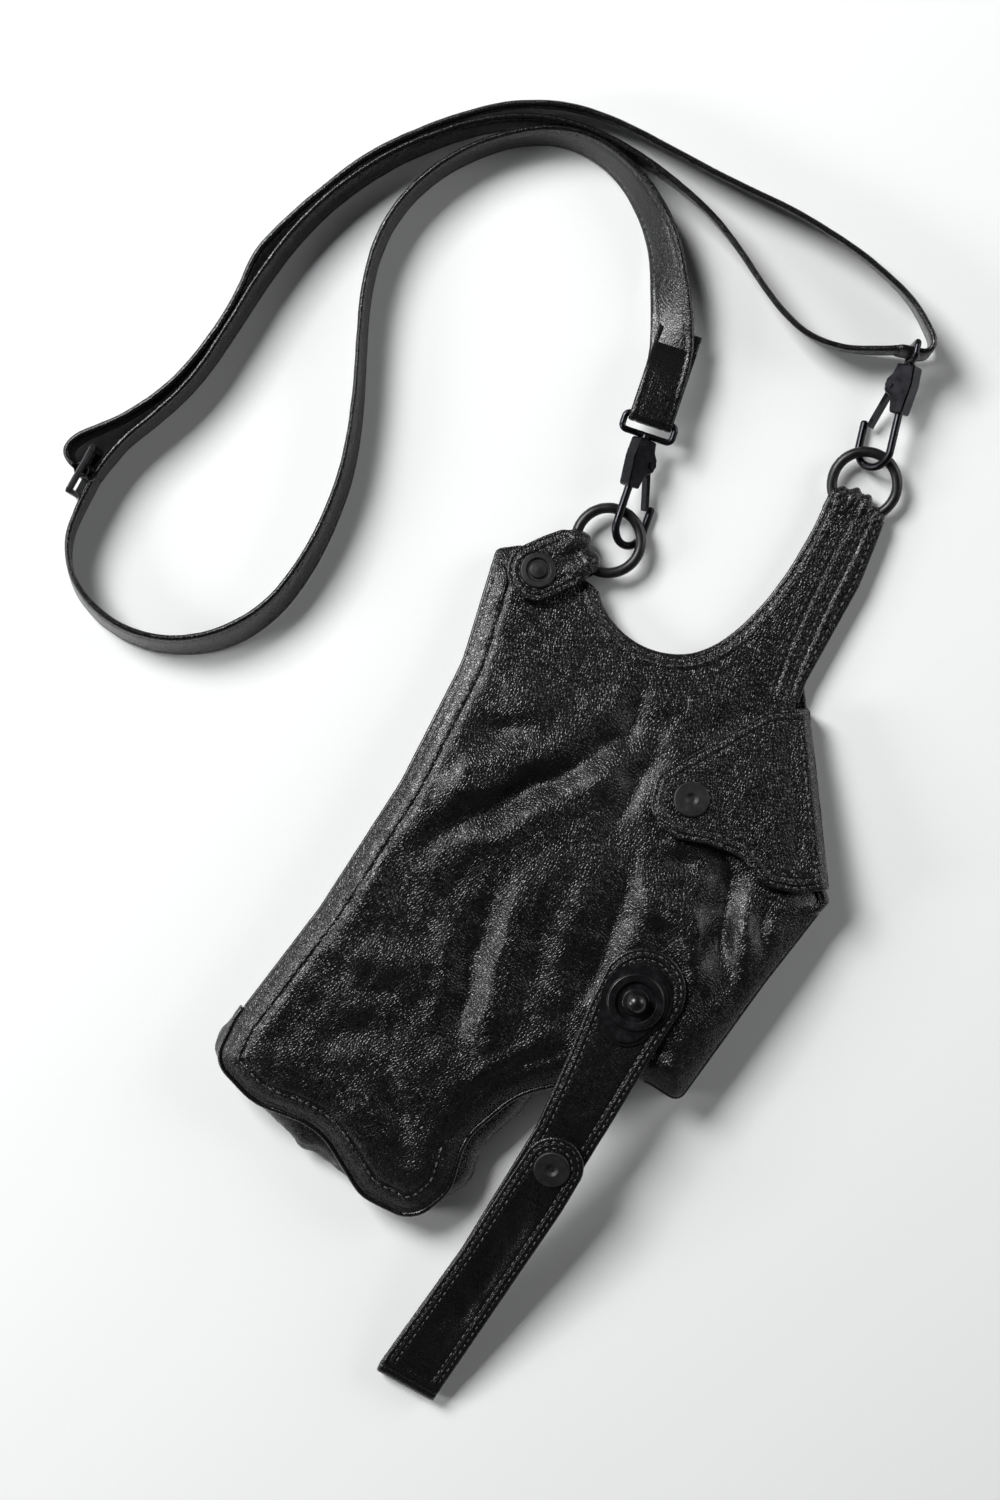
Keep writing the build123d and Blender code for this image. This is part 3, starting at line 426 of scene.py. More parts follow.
@dataclass(frozen=True)
class GrainedLeather:
    """Cow leather, drum dyed, lightly milled and given a satin top coat.

    The eye sees near-black hide with a fine pebble, soft creases where it was bent, and a broken shine.

    Attributes:
        name: the material's name.
        shaded_valley: colour between the pebbles, a darker painted shade in the joins.
        crown: colour of the pebbles' polished tops.
        pebble: width of one pebble, drawn a little coarse so that it shows.
        crease: width of the soft creases.
        shine: roughness of the top coat.
        relief: height of the pebbles.
        coat: strength of the clear top coat.
    """

    name: str
    # Painted shade: darker colour for the joins between the pebbles.
    shaded_valley: str = "060607"
    crown: str = "121213"
    pebble: float = 1.1
    crease: float = 9.0
    shine: float = 0.26
    relief: float = 0.11
    coat: float = 0.0

    def make(self) -> bpy.types.Material:
        """The leather as a material."""
        material, tree, shader = open_material(self.name)
        place = add_node(tree, "ShaderNodeTexCoord").outputs["Object"]
        bend = add_node(tree, "ShaderNodeTexNoise", {"Scale": per_metre(3.0), "Detail": 2.0}, {"Vector": place})
        wander = add_node(tree, "ShaderNodeMix", {"data_type": "VECTOR", 0: 0.0006},
                          {4: place, 5: bend.outputs["Color"]})
        pebbles = add_node(tree, "ShaderNodeTexVoronoi", {"feature": "F1", "Scale": per_metre(self.pebble)},
                           {"Vector": wander.outputs[1]})
        joins = add_node(tree, "ShaderNodeTexVoronoi",
                         {"feature": "DISTANCE_TO_EDGE", "Scale": per_metre(self.pebble)},
                         {"Vector": wander.outputs[1]})
        cell = add_node(tree, "ShaderNodeMapRange", {"From Max": 0.28, "interpolation_type": "SMOOTHSTEP"},
                        {"Value": joins.outputs["Distance"]})
        pores = add_node(tree, "ShaderNodeTexNoise", {"Scale": per_metre(0.55), "Detail": 3.0}, {"Vector": place})
        creases = add_node(tree, "ShaderNodeTexNoise",
                           {"noise_type": "RIDGED_MULTIFRACTAL", "Scale": per_metre(self.crease), "Detail": 4.0,
                            "Roughness": 0.6, "Distortion": 0.5}, {"Vector": place})
        cloud = add_node(tree, "ShaderNodeTexNoise", {"Scale": per_metre(38.0), "Detail": 3.0}, {"Vector": place})
        # Painted shade: the joins between the pebbles are mixed towards the darker valley colour, and the pebble tops
        # keep the crown colour.
        tint = add_node(tree, "ShaderNodeMix", {"data_type": "RGBA", 6: linear(self.shaded_valley), 7: linear(self.crown)},
                        {0: cell.outputs["Result"]})
        worn = add_node(tree, "ShaderNodeMapRange", {"From Min": 0.42, "From Max": 0.72, "To Max": 0.32},
                        {"Value": cloud.outputs["Fac"]})
        aged = add_node(tree, "ShaderNodeMix", {"data_type": "RGBA", 7: linear("18181a")},
                        {0: worn.outputs["Result"], 6: tint.outputs[2]})
        gloss = add_node(tree, "ShaderNodeMapRange",
                         {"From Min": 0.3, "From Max": 0.7, "To Min": self.shine - 0.06, "To Max": self.shine + 0.09},
                         {"Value": pores.outputs["Fac"]})
        low = add_node(tree, "ShaderNodeBump", {"Strength": 0.4, "Distance": 0.35 * MM},
                       {"Height": creases.outputs["Fac"]})
        mid = add_node(tree, "ShaderNodeBump", {"Strength": 0.9, "Distance": self.relief * MM},
                       {"Height": cell.outputs["Result"], "Normal": low.outputs["Normal"]})
        top = add_node(tree, "ShaderNodeBump", {"Strength": 0.4, "Distance": 0.03 * MM},
                       {"Height": pebbles.outputs["Distance"], "Normal": mid.outputs["Normal"]})
        tree.links.new(aged.outputs[2], shader.inputs["Base Color"])
        tree.links.new(gloss.outputs["Result"], shader.inputs["Roughness"])
        tree.links.new(top.outputs["Normal"], shader.inputs["Normal"])
        shader.inputs["IOR"].default_value = 1.5
        shader.inputs["Coat Weight"].default_value = self.coat
        shader.inputs["Coat Roughness"].default_value = 0.24
        return material


@dataclass(frozen=True)
class Enamel:
    """Brass or steel, polished, blackened and sprayed with baked enamel.

    The eye sees an even black skin with a faint orange peel and random patches rubbed a little brighter.

    Attributes:
        name: the material's name.
        colour: colour of the enamel.
        shine: roughness of the skin.
        peel: width of the orange peel.
        metallic: share of bare metal seen through the skin.
    """

    name: str
    colour: str = "101011"
    shine: float = 0.42
    peel: float = 0.7
    metallic: float = 0.0

    def make(self) -> bpy.types.Material:
        """The enamel as a material."""
        material, tree, shader = open_material(self.name)
        place = add_node(tree, "ShaderNodeTexCoord").outputs["Object"]
        peel = add_node(tree, "ShaderNodeTexNoise", {"Scale": per_metre(self.peel), "Detail": 2.0},
                        {"Vector": place})
        rub = add_node(tree, "ShaderNodeTexNoise", {"Scale": per_metre(4.0), "Detail": 5.0, "Roughness": 0.7},
                       {"Vector": place})
        worn = add_node(tree, "ShaderNodeMapRange", {"From Min": 0.5, "From Max": 0.8, "To Max": 0.5},
                        {"Value": rub.outputs["Fac"]})
        tint = add_node(tree, "ShaderNodeMix", {"data_type": "RGBA", 6: linear(self.colour), 7: linear("2c2c2f")},
                        {0: worn.outputs["Result"]})
        gloss = add_node(tree, "ShaderNodeMapRange",
                         {"From Min": 0.3, "From Max": 0.7, "To Min": self.shine - 0.07, "To Max": self.shine + 0.09},
                         {"Value": rub.outputs["Fac"]})
        bump = add_node(tree, "ShaderNodeBump", {"Strength": 0.35, "Distance": 0.03 * MM},
                        {"Height": peel.outputs["Fac"]})
        tree.links.new(tint.outputs[2], shader.inputs["Base Color"])
        tree.links.new(gloss.outputs["Result"], shader.inputs["Roughness"])
        tree.links.new(bump.outputs["Normal"], shader.inputs["Normal"])
        shader.inputs["Metallic"].default_value = self.metallic
        return material


@dataclass(frozen=True)
class GunmetalPlate:
    """Die-cast zinc, tumbled and plated with black nickel.

    The eye sees dark smoky metal with crisp highlights, cloudy polish and hair-fine scratches.

    Attributes:
        name: the material's name.
        colour: colour of the plate.
        shine: roughness of the polish.
        scratch: spacing of the scratches.
    """

    name: str
    colour: str = "3c3c40"
    shine: float = 0.26
    scratch: float = 0.5

    def make(self) -> bpy.types.Material:
        """The plate as a material."""
        material, tree, shader = open_material(self.name)
        place = add_node(tree, "ShaderNodeTexCoord").outputs["Object"]
        drawn = add_node(tree, "ShaderNodeMapping", {"Scale": (1.0, 0.12, 1.0)}, {"Vector": place})
        hair = add_node(tree, "ShaderNodeTexNoise", {"Scale": per_metre(self.scratch), "Detail": 4.0},
                        {"Vector": drawn.outputs["Vector"]})
        cloud = add_node(tree, "ShaderNodeTexNoise", {"Scale": per_metre(6.0), "Detail": 3.0}, {"Vector": place})
        tint = add_node(tree, "ShaderNodeMix", {"data_type": "RGBA", 6: linear(self.colour), 7: linear("2a2a2d")},
                        {0: cloud.outputs["Fac"]})
        gloss = add_node(tree, "ShaderNodeMapRange",
                         {"From Min": 0.3, "From Max": 0.7, "To Min": self.shine - 0.07, "To Max": self.shine + 0.12},
                         {"Value": cloud.outputs["Fac"]})
        bump = add_node(tree, "ShaderNodeBump", {"Strength": 0.2, "Distance": 0.015 * MM},
                        {"Height": hair.outputs["Fac"]})
        tree.links.new(tint.outputs[2], shader.inputs["Base Color"])
        tree.links.new(gloss.outputs["Result"], shader.inputs["Roughness"])
        tree.links.new(bump.outputs["Normal"], shader.inputs["Normal"])
        shader.inputs["Metallic"].default_value = 1.0
        return material


@dataclass(frozen=True)
class SewingThread:
    """Bonded polyester thread, twisted from three plies and waxed.

    The eye sees black cord with a slanting twist and a dull wax glint; its plies are lightened to grey as a painted
    highlight.

    Attributes:
        name: the material's name.
        colour: grey painted on the plies as a highlight on the black thread.
        twist: distance from ply to ply.
    """

    name: str
    # Grey painted highlight for the black thread's glint.
    colour: str = "58585b"
    twist: float = 0.45

    def make(self) -> bpy.types.Material:
        """The thread as a material."""
        material, tree, shader = open_material(self.name)
        place = add_node(tree, "ShaderNodeTexCoord").outputs["Object"]
        plies = add_node(tree, "ShaderNodeTexWave",
                         {"wave_type": "BANDS", "bands_direction": "DIAGONAL", "Scale": per_metre(self.twist) / 20,
                          "Distortion": 1.0}, {"Vector": place})
        # Painted highlight: the light bands along the plies take the grey colour that stands in for the thread's glint.
        tint = add_node(tree, "ShaderNodeMix", {"data_type": "RGBA", 6: linear("161617"), 7: linear(self.colour)},
                        {0: plies.outputs["Fac"]})
        bump = add_node(tree, "ShaderNodeBump", {"Strength": 0.6, "Distance": 0.06 * MM},
                        {"Height": plies.outputs["Fac"]})
        tree.links.new(tint.outputs[2], shader.inputs["Base Color"])
        tree.links.new(bump.outputs["Normal"], shader.inputs["Normal"])
        shader.inputs["Roughness"].default_value = 0.3
        return material


@dataclass(frozen=True)
class PaperSweep:
    """Matte white background paper, which gives soft grey shadows and no shine.

    Attributes:
        name: the material's name.
        colour: colour of the paper.
    """

    name: str
    colour: str = "f6f7f7"

    def make(self) -> bpy.types.Material:
        """The paper as a material."""
        material, tree, shader = open_material(self.name)
        place = add_node(tree, "ShaderNodeTexCoord").outputs["Object"]
        fibre = add_node(tree, "ShaderNodeTexNoise", {"Scale": per_metre(1.4), "Detail": 4.0}, {"Vector": place})
        tint = add_node(tree, "ShaderNodeMix", {"data_type": "RGBA", 6: linear(self.colour), 7: linear("f3f4f4")},
                        {0: fibre.outputs["Fac"]})
        tree.links.new(tint.outputs[2], shader.inputs["Base Color"])
        shader.inputs["Roughness"].default_value = 0.95
        shader.inputs["Specular IOR Level"].default_value = 0.1
        return material


class Finish(Enum):
    """The bag's finishes, each made once."""

    BAG = GrainedLeather("milled_cow_leather_bag")
    # STRAP and EDGE set their own painted shade colour for the pebble joins.
    STRAP = GrainedLeather("milled_cow_leather_strap", shaded_valley="050506", crown="101011", pebble=1.0, shine=0.26,
                           relief=0.06, crease=5.0)
    HANGER = GrainedLeather("milled_cow_leather_hanger", pebble=0.95, shine=0.26, relief=0.07, crease=7.0)
    EDGE = GrainedLeather("smooth_binding_leather", shaded_valley="050505", crown="0c0c0d", pebble=0.8, shine=0.24,
                          relief=0.05, crease=6.0, coat=0.3)
    THREAD = SewingThread("bonded_polyester_thread")
    SNAP = Enamel("matte_enamelled_brass", colour="0f0f10", shine=0.5)
    STEEL = GunmetalPlate("blackened_spring_steel", colour="3a3a3d", shine=0.35)
    RING = Enamel("matte_enamelled_wire", colour="0d0d0e", shine=0.38)
    BUTTON = Enamel("satin_enamelled_brass", colour="0e0e10", shine=0.3, metallic=0.0)
    HOOK = GunmetalPlate("black_nickel_plated_zinc")
    SLIDER = Enamel("satin_plated_steel_wire", colour="2c2c2e", shine=0.32, metallic=0.6)
    PAPER = PaperSweep("white_background_paper")

    def material(self) -> bpy.types.Material:
        """This finish's material, made the first time it is asked for."""
        return bpy.data.materials.get(self.value.name) or self.value.make()


def dress(piece: bpy.types.Object, finish: Finish, slot: str, body: str | None, *nodes: str) -> bpy.types.Object:
    """Gives a piece its finish and body, and lets it stand for CAD nodes.

    Args:
        piece: the piece.
        finish: its finish.
        slot: the record's material slot, not used.
        body: the body it rides on, or None for one that is blended later.
        nodes: the CAD nodes it replaces.

    Returns:
        The piece.
    """
    piece.data.materials.clear()
    piece.data.materials.append(finish.material())
    if nodes:
        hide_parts(*nodes)
    if body is not None:
        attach(piece, body)
    LOG.info("%s: %d faces, %s", piece.name, len(piece.data.polygons), body or "blended")
    return piece


# ---------------------------------------------------------------- studio
@dataclass
class Studio:
    """White table, soft key light from the upper left, and the camera straight above.

    Attributes:
        centre: point of the table under the camera.
        camera_height: height of the camera.
        turn: turn of the view on the table, in degrees.
        lens: focal length for a 36 mm sensor.
    """

    centre: Point = (-50.0, 32.0)
    camera_height: float = 1080.0
    turn: float = 29.0
    lens: float = 63.9

    def camera(self) -> None:
        """Adds the camera."""
        data = bpy.data.cameras.new("camera")
        data.lens = self.lens
        data.sensor_width = 36.0
        data.clip_end = 20.0
        camera = bpy.data.objects.new("camera", data)
        camera.location = metres((*self.centre, self.camera_height))
        camera.rotation_euler = (0.0, 0.0, math.radians(self.turn))
        bpy.context.scene.collection.objects.link(camera)
        bpy.context.scene.camera = camera

    def lamp(self, name: str, place: Spot, size: float, power: float, aim: Spot = (0.0, 0.0, 0.0)) -> None:
        """Adds one soft box.

        Args:
            name: its name.
            place: its place in the view's own directions: right, up and height above the table.
            size: side of its square face.
            power: power in watts.
            aim: the point it faces, in the view's own directions.
        """
        turn = Matrix.Rotation(math.radians(self.turn), 3, "Z")
        centre = Vector((*self.centre, 0.0))
        spot, target = centre + turn @ Vector(place), centre + turn @ Vector(aim)
        data = bpy.data.lights.new(name, "AREA")
        data.size = size * MM
        data.energy = power
        light = bpy.data.objects.new(name, data)
        light.location = spot * MM
        light.rotation_euler = (target - spot).to_track_quat("-Z", "Y").to_euler()
        bpy.context.scene.collection.objects.link(light)

    def build(self) -> None:
        """Adds the table, the soft boxes and the room's light."""
        rows = np.linspace(-1500, 1500, 13)
        grid = np.stack(np.meshgrid(rows, rows), -1).reshape(-1, 2) + np.array(self.centre)
        faces = [(r * 13 + c, r * 13 + c + 1, r * 13 + c + 14, r * 13 + c + 13) for r in range(12) for c in range(12)]
        table = set_mesh("table_paper", np.column_stack([grid, np.zeros(len(grid))]), faces)
        table.data.materials.append(Finish.PAPER.material())
        world = bpy.data.worlds.new("room")
        world.use_nodes = True
        tree, sky = world.node_tree, world.node_tree.nodes["Background"]
        way = add_node(tree, "ShaderNodeTexCoord")
        parts = add_node(tree, "ShaderNodeSeparateXYZ", links={"Vector": way.outputs["Generated"]})
        walls = add_node(tree, "ShaderNodeMapRange", {"From Min": 0.15, "From Max": 0.9, "To Min": 2.9, "To Max": 0.09},
                         {"Value": parts.outputs["Z"]})
        tree.links.new(walls.outputs["Result"], sky.inputs["Strength"])
        bpy.context.scene.world = world
        self.lamp("key", (-1150.0, 1120.0, 1500.0), 900.0, 56.0)
        self.lamp("side", (-1500.0, -100.0, 640.0), 420.0, 9.0)
        self.lamp("fill", (1500.0, 500.0, 700.0), 900.0, 9.0)
        bpy.context.scene.view_settings.view_transform = "Standard"


# ---------------------------------------------------------------- the bag's shape
@dataclass(frozen=True)
class Fold:
    """A soft fold pressed into the front panel.

    Attributes:
        line: points of its run.
        width: half width of the fold.
        rise: height of a ridge, or depth of a valley when below 0.
    """

    line: tuple[Point, ...]
    width: float
    rise: float

    def lift(self, points: Array) -> Array:
        """How far the fold lifts each point."""
        path = resample(np.array(self.line, float), 2.0)
        gap, nearest = away(path, points)
        taper = np.sin(np.pi * np.clip(nearest / (len(path) - 1), 0.05, 0.95)) ** 0.7
        fold = np.exp(-((gap / self.width) ** 1.7)) - 0.32 * np.exp(-(((gap - 2.1 * self.width) / self.width) ** 2))
        return self.rise * taper * fold


FOLDS = (
    Fold(((-4, 70), (-12, 58), (-20, 42), (-35, 20), (-50, 0), (-57, -16)), 5.0, -3.6),
    Fold(((-38, 38), (-47, 25), (-57, 10)), 5.5, 2.6),
    Fold(((0, 76), (3, 55), (6, 34), (6, 20)), 5.0, -2.4),
    Fold(((-12, 84), (-9, 68), (-8, 50)), 4.0, -1.8),
    Fold(((18, 18), (22, -4), (26, -26), (24, -44)), 6.0, -3.0),
    Fold(((-22, -30), (-20, -44), (-14, -62), (-6, -78)), 5.0, -2.6),
    Fold(((-15, -8), (-10, -30), (-4, -52), (0, -70)), 5.5, 2.6),
    Fold(((50, 38), (55, 28), (63, 10), (74, -4), (81, -12)), 6.0, -4.6),
    Fold(((30, 10), (40, 8), (52, 4), (60, -8)), 5.0, 2.4),
    Fold(((62, 24), (68, 12), (74, 0), (77, -12)), 4.0, 2.6),
    Fold(((70, 30), (78, 18), (84, 6)), 3.0, -2.2),
    Fold(((-64, 62), (-50, 52), (-34, 48)), 7.0, 1.4),
    Fold(((-70, 32), (-56, 36), (-40, 46)), 5.0, -1.3),
    Fold(((-72, -20), (-60, -34), (-44, -44)), 6.0, -1.6),
    Fold(((-74, -62), (-58, -66), (-40, -60), (-26, -66)), 6.0, 1.6),
    Fold(((-70, -92), (-52, -96), (-34, -90)), 5.0, -1.3),
    Fold(((-30, -104), (-16, -112), (-6, -124)), 5.0, -1.6),
    Fold(((5, -98), (14, -82), (22, -70), (30, -58)), 3.2, -1.5),
    Fold(((40, -46), (52, -44), (66, -40), (76, -36)), 5.0, -2.0),
    Fold(((14, 74), (26, 88), (34, 100)), 5.0, -1.2),
    Fold(((28, 24), (34, 28), (42, 30)), 4.0, -2.0),
    Fold(((60, -14), (66, -30), (72, -44)), 4.0, 1.8),
)


@dataclass
class BagForm:
    """The shape that panels, walls and stitching share.

    Attributes:
        tip_depth: height of the front at the tip.
        belly_depth: height of the front over the belly.
        neck_depth: height of the front at the neck.
        left_and_bottom: corners of the shared cutting line, down the left, along the bottom, up the right.
        arm_and_notch: corners up the arm and back round the neck opening.
    """

    tip_depth: float = 18.0
    belly_depth: float = 26.0
    neck_depth: float = 9.2
    left_and_bottom: list[Corner] = field(default_factory=lambda: [
        (-48, 108, 5), (-60, 109, 6), (-82, 108, 3), (-90, 102, 2), (-80, 56, 60), (-78, 2, 60),
        (-82, -58, 60), (-90, -112, 12), (-89, -131, 10), (-68, -138, 26), (-40, -134, 30), (-12, -150, 16),
        (10, -149, 12), (17, -132, 18), (12, -110, 26), (22, -84, 36), (38, -70, 30), (64, -55, 12),
        (80, -56, 4), (87, 2, 60), (93.5, 40, 4)])
    arm_and_notch: list[Corner] = field(default_factory=lambda: [
        (44, 116, 10), (44, 160, 10), (42, 176, 8), (40, 190, 1), (16, 190, 1), (17.6, 172, 90), (17.2, 152, 90),
        (15, 136, 60), (11.5, 123, 60), (6.5, 111.5, 60), (-1, 102.5, 60), (-10.5, 97.5, 60), (-21, 95.5, 60),
        (-31.5, 97, 60), (-40.5, 101, 60)])
    flap_corners: list[Corner] = field(default_factory=lambda: [
        (50.5, 107, 1), (91.5, 47, 1), (80, 39, 12), (68, 35.5, 10), (54, 41, 12), (40, 39, 10),
        (26, 34, 12), (13, 40, 10), (9, 54, 10), (19, 70, 12), (36, 98, 14)])

    def __post_init__(self) -> None:
        """Works out the lines that the other methods measure from."""
        self.rim = outline(self.left_and_bottom + [(86, 44.5, 2), (46, 103, 6)] + self.arm_and_notch)
        self.back_rim = outline(self.left_and_bottom + [(91.5, 47, 1), (50.5, 107, 2)] + self.arm_and_notch)
        self.notch = self.stretch((16, 189), (-46, 107))
        self.hem = self.stretch((-86, 90), (13, -118))
        self.arm_edge = self.stretch((46, 104), (40, 189))
        self.arm_seams = (
            resample(np.array([(28.5, 191), (29.0, 165), (30.0, 142), (32.0, 122), (36.0, 103)], float), 1.2),
            resample(np.array([(34.6, 191), (36.2, 168), (37.4, 142), (39.0, 122), (42.0, 102)], float), 1.2))
        button = np.array(BUTTON)
        arm = resample(np.array([(45.6, -24), (46, -84), (46, -150), (41, -208)], float), 4.0) - button
        self.hanger_lines = []
        for swing in SWINGS:
            cos, sin = math.cos(math.radians(swing)), math.sin(math.radians(swing))
            self.hanger_lines.append(button + arm @ np.array(((cos, sin), (-sin, cos))))

    def stretch(self, start: Point, end: Point) -> Array:
        """The part of the rim from the point nearest start, counter-clockwise, to the one nearest end."""
        first = int(np.linalg.norm(self.rim - np.array(start), axis=1).argmin())
        turned = np.roll(self.rim, -first, axis=0)
        return turned[: int(np.linalg.norm(turned - np.array(end), axis=1).argmin()) + 1]

    def flat_face(self, points: Array) -> Array:
        """Height of the front without folds."""
        lines = [np.interp(points[:, 1] + step, (-160, -125, 5, 112, 215),
                           (self.tip_depth, self.belly_depth, self.belly_depth, self.neck_depth, self.neck_depth))
                 for step in (-10, -5, 0, 5, 10)]
        return np.mean(lines, axis=0)

    def face(self, points: Array) -> Array:
        """Height of the front panel's face, with its folds, seams and pleats."""
        flat = self.flat_face(points)
        gap = away(self.rim, points, closed=True)[0]
        to_notch, along_notch = away(self.notch, points)
        to_hem, along_hem = away(self.hem, points)
        to_hanger = np.min([away(line, points)[0] for line in self.hanger_lines], axis=0)
        bent = points + 3.2 * np.stack([ripple(points, 17, 3.1), ripple(points, 17, 9.4)], 1)
        folds = sum(fold.lift(bent) for fold in FOLDS)
        folds += 0.9 * ripple(points, 30, 1.7) + 0.55 * ripple(points, 11, 5.2) + 0.22 * ripple(points, 4.5, 7.7)
        free = smooth((gap - 1.5) / 12) * smooth((to_notch - 4) / 12) * smooth((118 - points[:, 1]) / 18)
        for snap in (FLAP_SNAP, TAB_SNAP, BUTTON):
            free *= 1 - np.exp(-((np.linalg.norm(points - np.array(snap), axis=1) / 9) ** 4))
        fall = 0.30 * np.clip(flat - 5.5, 0, None) * (1 - np.clip(gap / 15, 0, 1)) ** 2.2
        limit = -0.15 + 1.5 * smooth((to_hanger - 15) / 9)
        height = flat + np.minimum(-0.5 + free * folds, limit) - fall
        seam = np.exp(-(((to_hem - 8.6) / 0.8) ** 2))
        pucker = np.sin(along_hem * 1.2 / 2.3 + 2.0 * ripple(points, 9, 2.2)) * np.exp(-(((to_hem - 8.6) / 3.4) ** 2))
        height += -0.75 * seam + 0.20 * pucker - 0.30 * np.exp(-(((to_hem - 2.4) / 0.6) ** 2))
        facing = 1 - smooth((to_notch - 4.9) / 0.8)
        gather = np.sin(along_notch * 1.2 / 1.9 + 2.5 * ripple(points, 6, 4.1)) * np.exp(-(((to_notch - 6.5) / 4.5) ** 2))
        height += 0.65 * facing - 0.40 * np.exp(-(((to_notch - 1.9) / 0.5) ** 2)) + 0.22 * gather
        neck = smooth((points[:, 1] - 100) / 12)
        for seam_line in self.arm_seams:
            height += neck * -0.85 * np.exp(-((away(seam_line, points)[0] / 0.8) ** 2))
        height += neck * 0.5 * smooth((points[:, 1] - 108) / 10) * (1 - facing)
        return height


# ---------------------------------------------------------------- bag body
@dataclass
class BagBody:
    """Panels, walls, piping, pleated arm and all their stitching.

    Attributes:
        form: the shared shape.
        leather: leather thickness.
        piping: thickness of the piping.
    """

    form: BagForm
    leather: float = 1.6
    piping: float = 2.4

    def panels(self) -> None:
        """The folded front panel and the flat back panel."""
        front = Leaf("front_leather", self.form.rim, self.form.face, self.leather, spacing=1.35, border=10.6).build()
        dress(front, Finish.BAG, "bag_leather", "root", "front_panel", "front_lining")

        def table_face(points: Array) -> Array:
            """Height of the back panel's inner face."""
            return 1.75 + 0.15 * ripple(points, 14, 6.1)

        back = Leaf("back_leather", self.form.back_rim, table_face, 1.5, spacing=3.0, border=4.0).build()
        dress(back, Finish.BAG, "bag_leather", "root", "back_panel", "back_lining")

    def wall(self, name: str, start: Point, end: Point, swell: Height, *nodes: str) -> None:
        """A wall between the two panels, swelling outward between them.

        Args:
            name: the piece's name.
            start: where it starts on the rim.
            end: where it ends on the rim.
            swell: how far it stands out at half height, from its points.
            nodes: the CAD nodes it replaces.
        """
        line = resample(self.form.stretch(start, end), 1.5)
        run = unit(np.gradient(line, axis=0))
        out = np.stack([run[:, 1], -run[:, 0]], 1)
        top = self.form.face(line) - 1.1
        reach = swell(line)
        shares = np.linspace(0, 1, 13)
        rows = []
        for share in shares:
            lump = ripple(line + share * 40, 9, 3.3) * 0.9 + ripple(line - share * 30, 4, 8.3) * 0.35
            held = math.sin(math.pi * share) ** 0.8
            stand = held * (reach + lump * np.minimum(reach, 3.0) / 2.0) - 0.35
            rows.append(np.column_stack([line + out * stand[:, None], top + (1.0 - top) * share]))
        inner = [row - np.column_stack([out * 1.3, np.zeros(len(out))]) for row in rows[::-1]]
        piece = flip_out(sweep(name, np.stack(rows + inner, 1)))
        dress(piece, Finish.BAG, "bag_leather", "root", *nodes)

    def walls(self) -> None:
        """The six walls round the bag."""

        def slack_bottom(line: Array) -> Array:
            """The wide gusset under the tip."""
            lump = 3.2 * np.exp(-(np.linalg.norm(line - np.array((-91.0, -122.0)), axis=1) / 9) ** 2)
            return 0.9 + 10.2 * np.exp(-(((line[:, 0] + 42) / 17) ** 2)) + lump

        def slack_notch(line: Array) -> Array:
            """The gusset that swells to the right of the barrel."""
            return 0.9 + 7.6 * smooth((line[:, 1] + 140) / 16) * smooth((-74 - line[:, 1]) / 16)

        def even(line: Array) -> Array:
            """A wall that stands nearly straight."""
            return np.full(len(line), 0.9)

        def tight(line: Array) -> Array:
            """A wall pulled slightly in."""
            return np.full(len(line), 0.3)

        self.wall("left_wall", (-62, 109), (-90, -112), even, "left_gusset")
        self.wall("bottom_wall", (-90, -112), (9, -149), slack_bottom, "bottom_gusset")
        self.wall("barrel_wall", (9, -149), (76, -56), slack_notch, "notch_gusset")
        self.wall("right_wall", (76, -56), (93, 38), even, "right_gusset")
        self.wall("arm_wall", (45, 108), (42, 174), tight, "arm_seam")
        self.wall("notch_wall", (17, 174), (-50, 108), tight, "top_facing")

    def cord_edge(self, name: str, line: Array, stand: float, drop: float, radius: float) -> bpy.types.Object:
        """A round leather edge along the rim.

        Args:
            name: the piece's name.
            line: its run on the rim.
            stand: how far it stands outside the rim.
            drop: how far its middle lies below the front's face.
            radius: its radius.

        Returns:
            The piece.
        """
        spots = resample(line, 1.3)
        run = unit(np.gradient(spots, axis=0))
        out = np.stack([run[:, 1], -run[:, 0]], 1)
        height = self.form.face(spots) - drop + 0.12 * ripple(spots, 5, 2.9)
        rings = []
        for k in range(10):
            angle = 2 * math.pi * k / 10
            flat = spots + out * (stand + radius * math.cos(angle))
            rings.append(np.column_stack([flat, height + radius * math.sin(angle)]))
        return flip_out(sweep(name, np.stack(rings, 1)))

    def edges(self) -> None:
        """Double piping along the bottom, and the rolled edges of the sides and the mouth."""
        low = self.form.stretch((-90, -108), (34, -73))
        dress(self.cord_edge("piping_upper", low, 0.5, 1.1, self.piping / 2), Finish.EDGE, "edge_leather", "root",
              "bottom_piping")
        for name, line, stand, drop, radius in (
                ("piping_lower", low, 1.0, 3.2, 1.0),
                ("left_edge", self.form.stretch((-60, 109), (-90, -106)), -0.3, 1.0, 0.95),
                ("right_edge", self.form.stretch((64, -55), (93, 36)), -0.2, 1.0, 0.9),
                ("notch_edge", self.form.stretch((16.5, 186), (-46, 107)), -0.4, 0.95, 0.95),
                ("arm_edge", self.form.stretch((46, 106), (40.5, 187)), -0.3, 0.95, 0.95)):
            dress(self.cord_edge(name, line, stand, drop, radius), Finish.EDGE, "edge_leather", "root")
        curl = resample(np.array([(80, 24), (87, 32), (92.4, 38), (93.6, 42.5), (90, 45.6), (84, 47.5)], float), 1.0)
        rings = []
        run = unit(np.gradient(curl, axis=0))
        out = np.stack([run[:, 1], -run[:, 0]], 1)
        width = 2.3 + 0.5 * ripple(curl, 6, 4.4)[:, None]
        for k in range(12):
            angle = 2 * math.pi * k / 12
            height = self.form.flat_face(curl) - 5.2 + 2.3 * math.sin(angle)
            rings.append(np.column_stack([curl - out * 1.0 + out * width * math.cos(angle), height]))
        dress(flip_out(sweep("mouth_curl", np.stack(rings, 1))), Finish.BAG, "bag_leather", "root")

